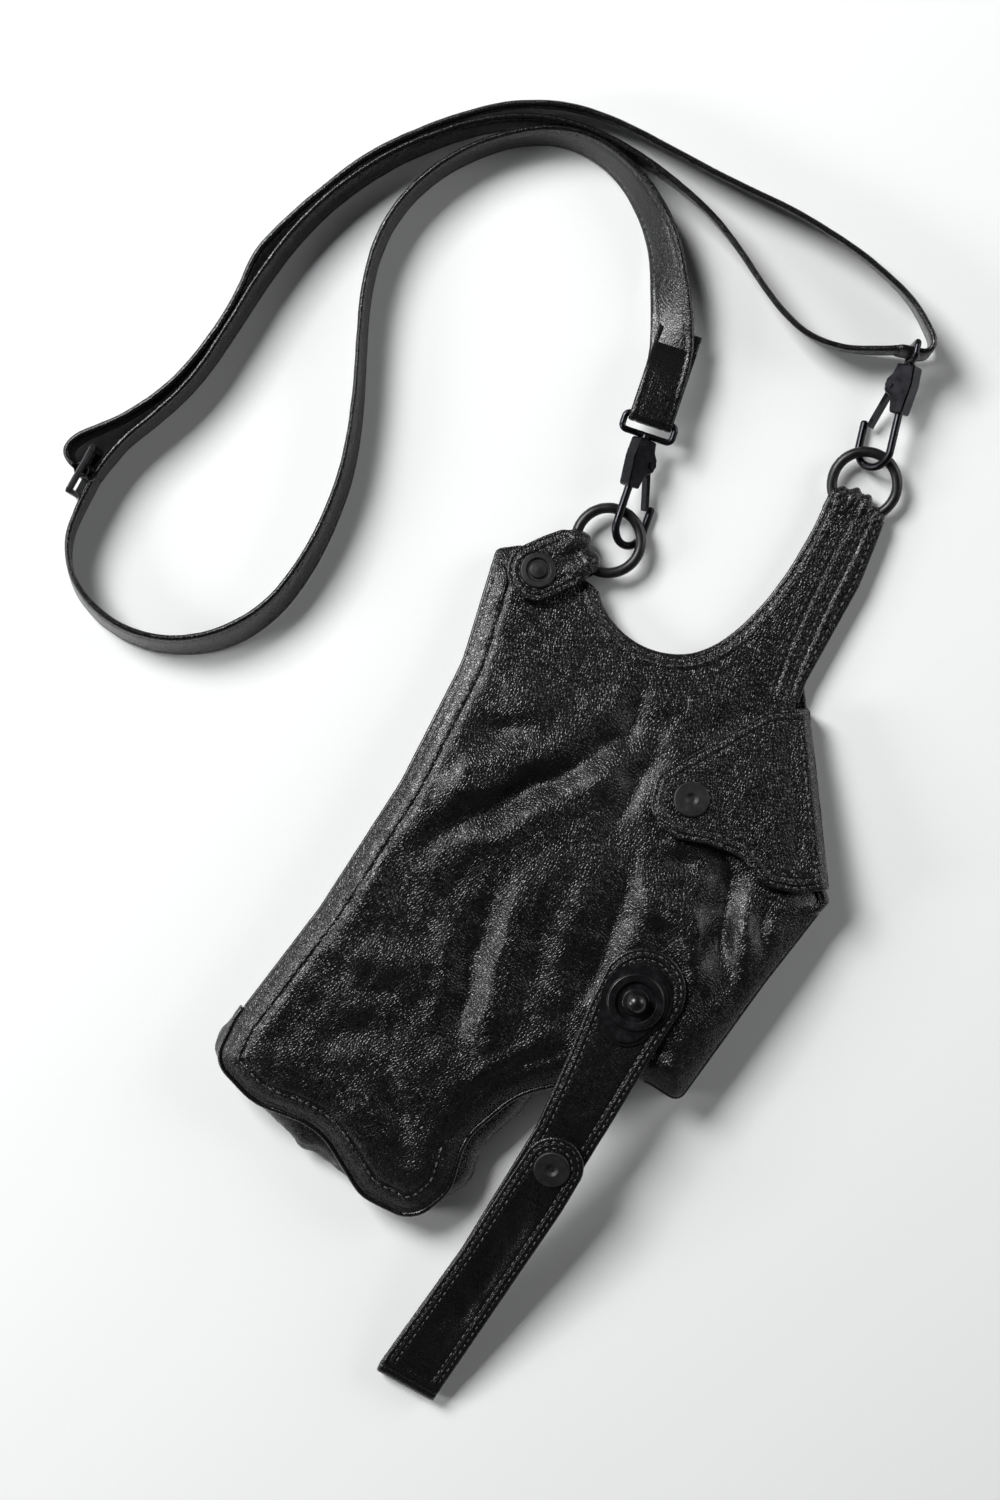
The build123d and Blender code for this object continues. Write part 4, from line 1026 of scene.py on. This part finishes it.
    def arm_loop(self) -> None:
        """The arm's end, pleated into four and folded down round the ring."""
        across = np.linspace(16.4, 38.6, 45)
        rings = []
        turn = np.linspace(math.pi / 2, -math.pi / 2, 15)
        for x in across:
            off = x - 27.5
            pleat = 0.5 + 0.5 * math.cos(2 * math.pi * (x - 19.2) / 5.9)
            reach = 189.6 - 0.035 * off * off + 1.1 * pleat
            top = 8.3 + 0.75 * pleat - 0.006 * off * off
            middle, radius = (top + 0.25) / 2, (top - 0.25) / 2
            outer = [(181.5, top)] + [(reach + radius * math.cos(a), middle + radius * math.sin(a)) for a in turn]
            outer += [(181.5, 0.25)]
            inner = [(181.5, 1.75)]
            inner += [(reach + (radius - 1.5) * math.cos(a), middle + (radius - 1.5) * math.sin(a)) for a in turn[::-1]]
            inner += [(181.5, top - 1.5)]
            rings.append([(x, y, z) for y, z in outer + inner])
        piece = flip_out(sweep("arm_end", np.array(rings)))
        dress(piece, Finish.BAG, "bag_leather", "root", "arm_loop")

    def stitches(self) -> None:
        """The rows of stitching on the front."""
        rows = Stitching()
        form = self.form
        hem = inset(form.rim, 7.3)
        keep = away(form.hem, hem)[0] < 7.6
        rows.along(hem[keep & (hem[:, 1] < 92)], form.face)
        for gap in (1.9, 4.3):
            line = inset(form.rim, gap)
            near = away(form.notch, line)[0] < gap * 1.05
            rows.along(self.ordered(line[near], form.notch), form.face)
        line = inset(form.rim, 2.0)
        near = (away(form.arm_edge, line)[0] < 2.0 * 1.05) & (line[:, 1] > 108)
        rows.along(self.ordered(line[near], form.arm_edge), form.face)
        for seam_line in form.arm_seams:
            run = unit(np.gradient(seam_line, axis=0))
            side = np.stack([-run[:, 1], run[:, 0]], 1)
            for shift in (-1.7, 1.7):
                rows.along((seam_line + side * shift)[2:-3], form.face)
        dress(rows.build("bag_stitching"), Finish.THREAD, "bag_leather", "root")

    @staticmethod
    def ordered(points: Array, line: Array) -> Array:
        """Points sorted along a line."""
        return points[np.argsort(away(line, points)[1], kind="stable")]

    def build(self) -> None:
        """Makes the whole body."""
        self.panels()
        self.walls()
        self.edges()
        self.arm_loop()
        self.stitches()


def welt(gap: Array, first: float = 2.0, second: float = 4.9) -> Array:
    """Relief of an edge sewn twice: two sunk rows with a plump strip between them."""
    rows = 0.35 * np.exp(-(((gap - first) / 0.5) ** 2)) + 0.32 * np.exp(-(((gap - second) / 0.55) ** 2))
    plump = 0.32 * np.exp(-(((gap - (first + second) / 2) / 0.9) ** 2))
    return plump - rows


# ---------------------------------------------------------------- flap
@dataclass
class MouthFlap:
    """The flap over the mouth, its hinge wall and its stitched border.

    Attributes:
        form: the shared shape.
        lift: height of the flap's face above the shoulder.
    """

    form: BagForm
    lift: float = 4.25

    def face(self, points: Array) -> Array:
        """Height of the flap's face."""
        gap = away(self.rim, points, closed=True)[0]
        fold = away(self.fold_line, points)[0]
        edge_off = smooth((fold - 3) / 4)
        height = self.form.belly_depth - (points[:, 1] - 5) * 0.157 + self.lift
        soft = 0.7 * ripple(points, 22, 8.8) + 0.3 * ripple(points, 8, 1.3)
        ease = smooth((gap - 5) / 8) * (1 - np.exp(-((np.linalg.norm(points - np.array(FLAP_SNAP), axis=1) / 9) ** 4)))
        crease = -0.9 * np.exp(-((away(np.array([(48.0, 96), (66, 70), (74, 52)]), points)[0] / 4) ** 2))
        return height + welt(gap) * edge_off + ease * (soft + crease) - 2.3 * (1 - np.clip(fold / 4.0, 0, 1)) ** 2

    def build(self) -> None:
        """Makes the flap."""
        self.rim = outline(self.form.flap_corners)
        self.fold_line = resample(np.array([(50.5, 107), (91.5, 47)], float), 2.0)
        leaf = Leaf("flap_leather", self.rim, self.face, 1.9, spacing=1.5, border=7.0).build()
        dress(leaf, Finish.BAG, "bag_leather", None, "flap_leaf", "flap_lining")
        inward = Vector((-0.8256, -0.5642, 0.0))
        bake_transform(leaf)
        self.wall(inward)
        rows = Stitching(pitch=3.2)
        for gap in (2.0, 4.9):
            line = inset(self.rim, gap)
            clear = line[away(self.fold_line, line)[0] > 3.2]
            rows.open_row(clear, self.face)
        dress(rows.build("flap_stitching"), Finish.THREAD, "bag_leather", "flap")

    def wall(self, inward: Vector) -> None:
        """The leather that runs down from the flap's fold to the back panel.

        Args:
            inward: direction from the fold towards the flap.
        """
        line = resample(np.array([(51.2, 106), (90.8, 48)], float), 1.6)
        side = np.array((inward.x, inward.y))
        top = self.face(line + side * 0.9) - 0.9
        rings = []
        for share in np.linspace(0, 1, 10):
            bow = 0.5 * math.sin(math.pi * share) + 0.35 * ripple(line + share * 30, 8, 5.5)
            rings.append(np.column_stack([line - side * (bow[:, None] - 0.2), top + (2.1 - top) * share]))
        inner = [ring + np.array((*side * 1.4, 0.0)) for ring in rings[::-1]]
        piece = flip_out(sweep("flap_hinge_leather", np.stack(rings + inner, 1)))
        dress(piece, Finish.BAG, "bag_leather", "flap_wall", "flap_spine")


# ---------------------------------------------------------------- ring tab
@dataclass
class RingTab:
    """The shoulder tab folded round the left ring and snapped down.

    Attributes:
        origin: middle of its snap on the shoulder.
        bend: place of the bend along the tab.
        bend_low: height of the bend's middle.
        bend_radius: outer radius of the bend.
    """

    origin: Spot = (-71.5, 101.5, 10.85)
    bend: float = 20.1
    bend_low: float = -1.15
    bend_radius: float = 5.35

    def place(self) -> Matrix:
        """The tab's own plane in the frame, in metres."""
        columns = ((0.5878, 0.7992, -0.1255), (-0.8090, 0.5807, -0.0912), (0.0, 0.1551, 0.9879))
        turn = Matrix(columns).transposed().to_4x4()
        return Matrix.Translation(Vector(self.origin) * MM) @ turn

    @staticmethod
    def lobes(across: Array) -> Array:
        """Height of the two lobes that the ring presses up."""
        return 1.2 * np.exp(-(((np.abs(across) - 5.4) / 3.0) ** 2)) - 1.1 * np.exp(-((across / 1.7) ** 2))

    def face(self, points: Array) -> Array:
        """Height of the tab's face in its own plane."""
        gap = away(self.rim, points, closed=True)[0]
        grown = smooth((points[:, 0] - 7) / 9)
        lines = 0.35 * np.sin(np.arctan2(points[:, 1], points[:, 0] - 2) * 9) * smooth((points[:, 0] - 8) / 4)
        return 4.2 + welt(gap) * (1 - grown * 0.6) + grown * self.lobes(points[:, 1]) + 0.5 * lines * (gap > 1)

    def build(self) -> None:
        """Makes the tab."""
        circle = [(12.5 * math.cos(a), 12.5 * math.sin(a), 0.0) for a in np.radians(np.arange(108, 253, 12))]
        end = [(8, -12.0, 6), (16, -11.2, 4), (20.6, -9.0, 2), (20.6, 9.0, 2), (16, 11.4, 4), (8, 12.0, 6)]
        self.rim = outline([*circle, *end], 1.0)
        leaf = Leaf("tab_leather", self.rim, self.face, 1.7, spacing=1.1, border=6.0).build(self.place())
        dress(leaf, Finish.BAG, "bag_leather", None, "tab_leaf")
        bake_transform(leaf)
        self.fold()
        rows = Stitching(pitch=2.9)
        for gap in (2.0, 4.9):
            line = inset(self.rim, gap)
            clear = line[line[:, 0] < 14]
            rows.open_row(clear, self.face, self.place())
        dress(rows.build("tab_stitching"), Finish.THREAD, "bag_leather", "tab")

    def fold(self) -> None:
        """The bend round the ring and the leaf under it."""
        rings = []
        turn = np.linspace(math.pi / 2, -math.pi / 2, 17)
        for y in np.linspace(-9.6, 9.6, 31):
            lobe = float(self.lobes(np.array([y]))[0])
            reach = self.bend - 0.03 * y * y + 0.5 * lobe
            outer, inner = self.bend_radius + 0.5 * lobe, self.bend_radius - 1.7
            middle = self.bend_low + 0.5 * lobe
            low = middle - outer
            path = [(self.bend - 3, middle + outer)]
            path += [(reach + outer * math.cos(a), middle + outer * math.sin(a)) for a in turn]
            path += [(4.0, low), (4.0, low + 1.6)]
            path += [(reach + inner * math.cos(a), middle + inner * math.sin(a)) for a in turn[::-1]]
            path += [(self.bend - 3, middle + inner)]
            rings.append([(x, y, z) for x, z in path])
        piece = flip_out(sweep("tab_fold_leather", np.array(rings)))
        piece.data.transform(self.place())
        dress(piece, Finish.BAG, "bag_leather", "root", "tab_base")


# ---------------------------------------------------------------- hanging strap
@dataclass
class Hanger:
    """The hanging strap with its round head, its fold and the leaf that snaps back onto it.

    Attributes:
        high: height of the strap's underside over the belly.
        low: height of its underside at the fold.
        thickness: its thickness.
        leaf_rise: height of the return leaf's underside above the strap's.
    """

    high: float = 26.3
    low: float = 1.2
    thickness: float = 2.0
    leaf_rise: float = 4.65

    def underside(self, points: Array) -> Array:
        """Height of the strap's underside."""
        marks = [np.interp(points[:, 1] + step, (-208, -79), (self.low, self.high)) for step in (-6, -3, 0, 3, 6)]
        return np.mean(marks, axis=0)

    def strap_face(self, points: Array) -> Array:
        """Height of the strap's face."""
        gap = away(self.strap_rim, points, closed=True)[0]
        soft = 0.25 * ripple(points, 9, 3.9) * smooth((gap - 5) / 3)
        return self.underside(points) + self.thickness + welt(gap, 2.0, 4.6) * 0.8 + soft

    def leaf_face(self, points: Array) -> Array:
        """Height of the return leaf's face."""
        gap = away(self.leaf_rim, points, closed=True)[0]
        open_part = smooth((points[:, 1] + 205) / 20) * smooth((-112 - points[:, 1]) / 14)
        soft = (0.8 * ripple(points, 13, 6.6) + 0.35 * ripple(points, 6, 2.4)) * smooth((gap - 4.5) / 4) * open_part
        hollow = -1.0 * open_part * smooth((gap - 4) / 6)
        lifted = self.underside(points) + self.leaf_rise + self.thickness
        return lifted + welt(gap, 2.0, 4.6) + soft + hollow + 0.6 * open_part

    def build(self) -> None:
        """Makes the hanging strap."""
        head = [(45.6 + 17.2 * math.cos(a), -24 + 17.2 * math.sin(a), 0.0) for a in np.radians(np.arange(4, 180, 8))]
        self.strap_rim = outline([*head, (29.4, -38, 16), (32, -60, 20), (34.8, -92, 30), (33.2, -150, 40),
                                  (27.6, -208, 0.5), (53.6, -208, 0.5), (58.6, -138, 30), (59.8, -84, 30),
                                  (61.6, -40, 16)])
        tip = [(48.2 + 12.2 * math.cos(a), -102 + 12.2 * math.sin(a), 0.0) for a in np.radians(np.arange(4, 180, 10))]
        self.leaf_rim = outline([*tip, (34.9, -118, 14), (33.2, -150, 40), (27.7, -208, 0.5), (53.7, -208, 0.5),
                                 (58.6, -138, 30), (60.2, -116, 12)], 1.1)
        strap = Leaf("hanger_under_leather", self.strap_rim, self.strap_face, self.thickness, 1.7, 6.4).build()
        dress(strap, Finish.HANGER, "hanger_leather", "hanger", "hanger_strap")
        leaf = Leaf("hanger_leaf_leather", self.leaf_rim, self.leaf_face, self.thickness, 1.5, 6.4).build()
        dress(leaf, Finish.HANGER, "hanger_leather", None, "hanger_leaf")
        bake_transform(leaf)
        self.fold()
        rows = Stitching(pitch=3.0)
        for gap in (2.0, 4.6):
            line = inset(self.strap_rim, gap)
            clear = line[line[:, 1] > -203]
            rows.open_row(clear, self.strap_face)
        dress(rows.build("hanger_stitching"), Finish.THREAD, "hanger_leather", "hanger")
        for gap in (2.0, 4.6):
            line = inset(self.leaf_rim, gap)
            clear = line[line[:, 1] > -203]
            rows.open_row(clear, self.leaf_face)
        seam = rows.build("hanger_leaf_stitching")
        dress(seam, Finish.THREAD, "hanger_leather", None)
        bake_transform(seam)

    def fold(self) -> None:
        """The rolled bottom end."""
        rings = []
        turn = np.linspace(math.pi / 2, 3 * math.pi / 2, 15)
        for x in np.linspace(27.7, 53.6, 29):
            edge = min(x - 27.7, 53.6 - x)
            trim = 0.35 * math.exp(-((edge / 0.8) ** 2))
            rise = self.low + (self.leaf_rise + self.thickness) / 2
            outer = (self.leaf_rise + self.thickness) / 2 - trim
            inner = outer - self.thickness + 2 * trim
            path = [(-207.4, rise + outer)] + [(-208 + outer * math.cos(a), rise + outer * math.sin(a)) for a in turn]
            path += [(-207.4, rise - outer), (-207.4, rise - inner)]
            path += [(-208 + inner * math.cos(a), rise + inner * math.sin(a)) for a in turn[::-1]]
            path += [(-207.4, rise + inner)]
            rings.append([(x, y, z) for y, z in path])
        piece = flip_out(sweep("hanger_fold_leather", np.array(rings)))
        dress(piece, Finish.HANGER, "hanger_leather", "hanger", "hanger_fold")


# ---------------------------------------------------------------- shoulder strap
@dataclass
class StrapRun:
    """One free run of the shoulder strap, standing mostly on its edge.

    Attributes:
        name: the piece's name.
        route: points of its middle line.
        turns: lean from upright, in degrees, at distances along the run.
        nodes: the CAD nodes it replaces.
        length: real length of the run, not used.
        width: strap width.
        thickness: strap thickness.
    """

    name: str
    route: list[Spot]
    turns: list[Point]
    nodes: tuple[str, ...]
    length: float
    width: float = 18.0
    thickness: float = 2.4

    def middle_line(self) -> Array:
        """Points along the run's smooth middle line, in millimetres."""
        data = bpy.data.curves.new("route", "CURVE")
        data.dimensions = "3D"
        data.resolution_u = 10
        spline = data.splines.new("NURBS")
        spline.points.add(len(self.route) - 1)
        for point, spot in zip(spline.points, self.route):
            point.co = (*metres(spot), 1.0)
        spline.order_u = 3
        spline.use_endpoint_u = True
        holder = bpy.data.objects.new("route", data)
        bpy.context.scene.collection.objects.link(holder)
        bpy.context.view_layer.update()
        mesh = bpy.data.meshes.new_from_object(holder)
        points = np.array([tuple(v.co) for v in mesh.vertices]) / MM
        bpy.data.objects.remove(holder)
        bpy.data.curves.remove(data)
        bpy.data.meshes.remove(mesh)
        return points

    def frames(self, line: Array) -> tuple[Array, Array, Array]:
        """Directions along the run.

        Args:
            line: the middle line.

        Returns:
            Forward, across the width, and square to the face, at each point.
        """
        forward = unit(np.gradient(line, axis=0))
        reach = np.concatenate([[0], np.cumsum(np.linalg.norm(np.diff(line, axis=0), axis=1))])
        marks = np.array(self.turns, float)
        lean = np.radians(np.interp(reach, marks[:, 0], marks[:, 1]))
        kernel = np.ones(9) / 9
        lean = np.convolve(np.pad(lean, 4, mode="edge"), kernel, mode="valid")
        lean += np.radians(2.0) * np.array([noise.noise(Vector((r / 45, 3.3, 1.1))) for r in reach])
        level = unit(np.cross(forward, np.array((0.0, 0.0, 1.0))))
        up = np.cross(level, forward)
        across = up * np.cos(lean)[:, None] + level * np.sin(lean)[:, None]
        return forward, across, unit(np.cross(across, forward))

    def section(self) -> Array:
        """Across and out of each point of the strap's rounded section, with its sunk stitch rows."""
        half, thick = self.width / 2, self.thickness / 2
        side = [(-half + 0.9, 0.97), (-half + 2.1, 0.98), (-half + 2.9, 0.80), (-half + 3.7, 1.0), (-half / 2.6, 1.04),
                (half / 2.6, 1.04), (half - 3.7, 1.0), (half - 2.9, 0.80), (half - 2.1, 0.98), (half - 0.9, 0.97)]
        upper = [(a, b * thick) for a, b in side]
        lower = [(a, -b * thick) for a, b in reversed(side)]
        return np.array([*upper, (half - 0.2, 0.62 * thick), (half, 0.12 * thick), (half, -0.12 * thick),
                         (half - 0.2, -0.62 * thick), *lower, (-half + 0.2, -0.62 * thick), (-half, -0.12 * thick),
                         (-half, 0.12 * thick), (-half + 0.2, 0.62 * thick)])

    def build(self, rows: Stitching) -> tuple[bpy.types.Object, Array]:
        """Makes the run.

        Args:
            rows: takes the run's stitches.

        Returns:
            The strap and its middle line in millimetres.
        """
        line = self.middle_line()
        forward, across, out = self.frames(line)
        shape = self.section()
        rings = line[:, None] + across[:, None] * shape[None, :, :1] + out[:, None] * shape[None, :, 1:]
        wave = np.array([[noise.noise(Vector(point / 7)) for point in ring] for ring in rings])
        rings += out[:, None] * (0.16 * wave)[..., None]
        piece = flip_out(sweep(self.name, rings))
        dress(piece, Finish.STRAP, "strap_leather", None, *self.nodes)
        marks = resample(line, rows.pitch)
        reach = np.concatenate([[0], np.cumsum(np.linalg.norm(np.diff(line, axis=0), axis=1))])
        share = np.linspace(0, reach[-1], len(marks))
        at_marks = [np.stack([np.interp(share, reach, values[:, k]) for k in range(3)], 1)
                    for values in (forward, across, out)]
        for row in (-self.width / 2 + 2.9, self.width / 2 - 2.9):
            for face in (-1.0, 1.0):
                lift = face * (self.thickness / 2 * 0.80 + 0.06)
                rows.add(marks + at_marks[1] * row + at_marks[2] * lift, unit(at_marks[0]), unit(at_marks[2]) * face)
        LOG.info("%s: line %.1f mm", self.name, reach[-1])
        return piece, line


@dataclass
class ShoulderStrap:
    """The three runs of the shoulder strap, its folded end, and its turn round the slider.

    Attributes:
        height: height of the middle of a strap standing on its edge.
    """

    height: float = 9.4

    def run(self, strap: StrapRun, blend_to_slider: tuple[Spot, Spot] | None, *parts: bpy.types.Object) -> None:
        """Args:
            strap: the run.
            blend_to_slider: where it starts to follow the slider and where it follows it fully.
            parts: separate pieces on it, not used.
        """
        rows = Stitching(pitch=3.1, length=2.3, thread=0.66)
        piece, line = strap.build(rows)
        seam = dress(rows.build(strap.name + "_stitching"), Finish.THREAD, "strap_leather", None)
        for soft in (piece, seam):
            if blend_to_slider is None:
                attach(soft, "root")
            else:
                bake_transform(soft)

    def lead_end(self) -> bpy.types.Object:
        """The strap's end, folded back on itself round the left hook's eye."""
        bar, course = np.array((-61.23, 177.59)), np.array((-0.1805, 0.9836))
        side = np.array((0.9836, 0.1805))
        turn = np.linspace(math.pi / 2, 3 * math.pi / 2, 15)
        rings = []
        for k, off in enumerate(np.linspace(-9.0, 9.0, 19)):
            trim = 0.45 * math.exp(-(((9.0 - abs(off)) / 0.7) ** 2))
            groove = 0.25 * math.exp(-(((abs(off) - 6.2) / 0.5) ** 2))
            outer, inner = 3.15 - trim - groove, 1.55 + trim
            path = [(30.0, 2.2 - trim - groove), (12.0, 2.5 - trim - groove)]
            path += [(outer * math.cos(a), outer * math.sin(a)) for a in turn]
            path += [(12.0, -2.5 + trim + groove), (37.0, -2.2 + trim + groove), (37.6, -1.4), (37.0, -0.6)]
            path += [(8.0, -0.35), (4.0, -inner * 0.6)]
            path += [(inner * math.cos(a), inner * math.sin(a)) for a in turn[::-1]]
            path += [(4.0, inner * 0.6), (8.0, 0.35), (30.0, 0.4)]
            ring = [(*(bar + course * u + side * off), 11.79 + v) for u, v in path]
            rings.append(ring)
        piece = flip_out(sweep("strap_end_fold", np.array(rings)))
        return dress(piece, Finish.STRAP, "strap_leather", "root", "strap_lead_end")

    def slider_turn(self) -> None:
        """The strap's end sewn round the slider's middle bar."""
        centre = np.array((-250.0, 49.0))
        turn = np.linspace(math.radians(158), math.radians(-158), 25)
        rings = []
        for angle in turn:
            out = np.array((math.cos(angle), math.sin(angle)))
            ring = []
            for k in range(16):
                around = 2 * math.pi * k / 16
                flat = 2.62 + 0.68 * math.cos(around)
                rise = 11.6 + 8.9 * math.copysign(abs(math.sin(around)) ** 0.35, math.sin(around))
                ring.append((*(centre + out * flat), rise))
            rings.append(ring)
        piece = flip_out(sweep("strap_turn_leather", np.array(rings)))
        dress(piece, Finish.STRAP, "strap_leather", "slider", "strap_slider_fold")

    def build(self) -> None:
        """Makes the shoulder strap."""
        low = self.height
        end = self.lead_end()
        lead = [(-62.0, 181.8, 11.9), (-63.8, 191.7, 11.9), (-66.5, 203.7, 11.7), (-71.7, 214, 11.0), (-80.5, 228, 10),
                *[(x, y, low) for x, y in (
                    (-90.4, 241.8), (-103, 252.6), (-119, 260.5), (-135.7, 263), (-151.5, 259), (-166.2, 248.7),
                    (-178, 235), (-187, 219), (-191.8, 200.4), (-190.8, 181.7), (-185, 163), (-176, 144.3),
                    (-166.2, 123.6), (-158.3, 102), (-154.4, 79.3), (-154, 57.6), (-157.4, 36), (-168.2, 17.2),
                    (-184, 5), (-201.7, -0.5), (-219.4, 1), (-234, 8.4), (-242.4, 20), (-244.8, 34), (-244.8, 49))]]
        self.run(StrapRun("strap_lead_run", lead, [(0, 82), (26, 78), (60, 46), (100, 22), (150, 6), (260, 4),
                                                   (330, 12), (400, 22), (440, 16), (500, 2)],
                          ("strap_lead",), 515.0), None, end)
        outer = [(x, y, low) for x, y in (
            (-253.4, 49), (-259.8, 50.5), (-260, 58), (-254, 66), (-246, 76), (-236, 96), (-231.6, 119),
            (-230.6, 140.4), (-233, 158), (-229.6, 172), (-223.6, 190), (-213.8, 213), (-202.7, 229), (-188, 246.7),
            (-172, 261.5), (-153.4, 271.4), (-133.7, 275.8), (-109, 276.8), (-79.6, 277.2), (-50, 279.2),
            (-25.4, 277.8), (-5.7, 274.3), (8, 270))] + [(17, 264, 10.8)]
        outer += [(23.6, 258.6, 11.9), (22.9, 252.9, 11.9), (16.5, 251.2, 11.9), (11.95, 249.66, 11.9)]
        self.run(StrapRun("strap_outer_run", outer, [(0, 0), (60, 4), (150, 10), (260, 8), (340, 12), (420, 8), (470, 0)],
                          ("strap_outer", "strap_eye_fold"), 461.0), ((-238, 92, 9), (-252, 60, 9)))
        inner = [(11.95, 249.66, 11.9), (2, 244, 11.0)] + [(x, y, low) for x, y in (
            (-9, 239.6), (-22, 238), (-35.2, 241), (-50, 247.7), (-64.8, 255.6), (-81, 262), (-100, 266),
            (-123.9, 268), (-143.6, 266), (-161, 260), (-177, 249.4), (-191, 235), (-203.6, 218.6), (-214.6, 198),
            (-222, 175), (-225.6, 150.2), (-226.6, 125.6), (-229, 101), (-236.6, 79.3), (-243.2, 64), (-244.8, 49))]
        self.run(StrapRun("strap_inner_run", inner, [(0, 0), (40, -12), (110, -8), (200, 6), (300, 8), (417, 0)],
                          ("strap_inner",), 417.5), None)
        self.slider_turn()


# ---------------------------------------------------------------- hardware kept from the frame
@dataclass
class Hardware:
    """Fittings whose frame shape is right, which get their real finishes."""

    finishes: dict[Finish, tuple[str, ...]] = field(default_factory=lambda: {
        Finish.RING: ("ring_left", "ring_right"),
        Finish.SNAP: ("flap_snap_cap", "tab_snap_cap", "hanger_snap_cap"),
        Finish.STEEL: ("flap_snap_stud", "tab_snap_stud", "hanger_snap_stud", "flap_snap_socket", "tab_snap_socket",
                       "hanger_snap_socket", "button_washer", "hook_left_gate_spring", "hook_right_gate_spring"),
        Finish.BUTTON: ("button_plate", "button_ring", "button_ball"),
        Finish.HOOK: ("hook_left_barrel", "hook_left_wire", "hook_left_gate", "hook_left_gate_pin", "hook_left_eye",
                      "hook_right_barrel", "hook_right_wire", "hook_right_gate", "hook_right_gate_pin",
                      "hook_right_eye"),
        Finish.SLIDER: ("slider_frame",)})

    def build(self) -> None:
        """Gives every fitting its finish."""
        for finish, names in self.finishes.items():
            for name in names:
                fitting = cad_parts[name]
                for slot in fitting.material_slots:
                    slot.material = finish.material()
                if not fitting.material_slots:
                    fitting.data.materials.append(finish.material())
                LOG.info("%s: %s", name, finish.value.name)


def main() -> None:
    """Builds the studio and the bag."""
    logging.basicConfig(level=logging.INFO, format="%(name)s %(message)s")
    studio = Studio()
    studio.camera()
    ShoulderStrap().build()
    form = BagForm()
    BagBody(form).build()
    MouthFlap(form).build()
    RingTab().build()
    Hanger().build()
    Hardware().build()
    studio.build()


if __name__ == "__main__":
    main()
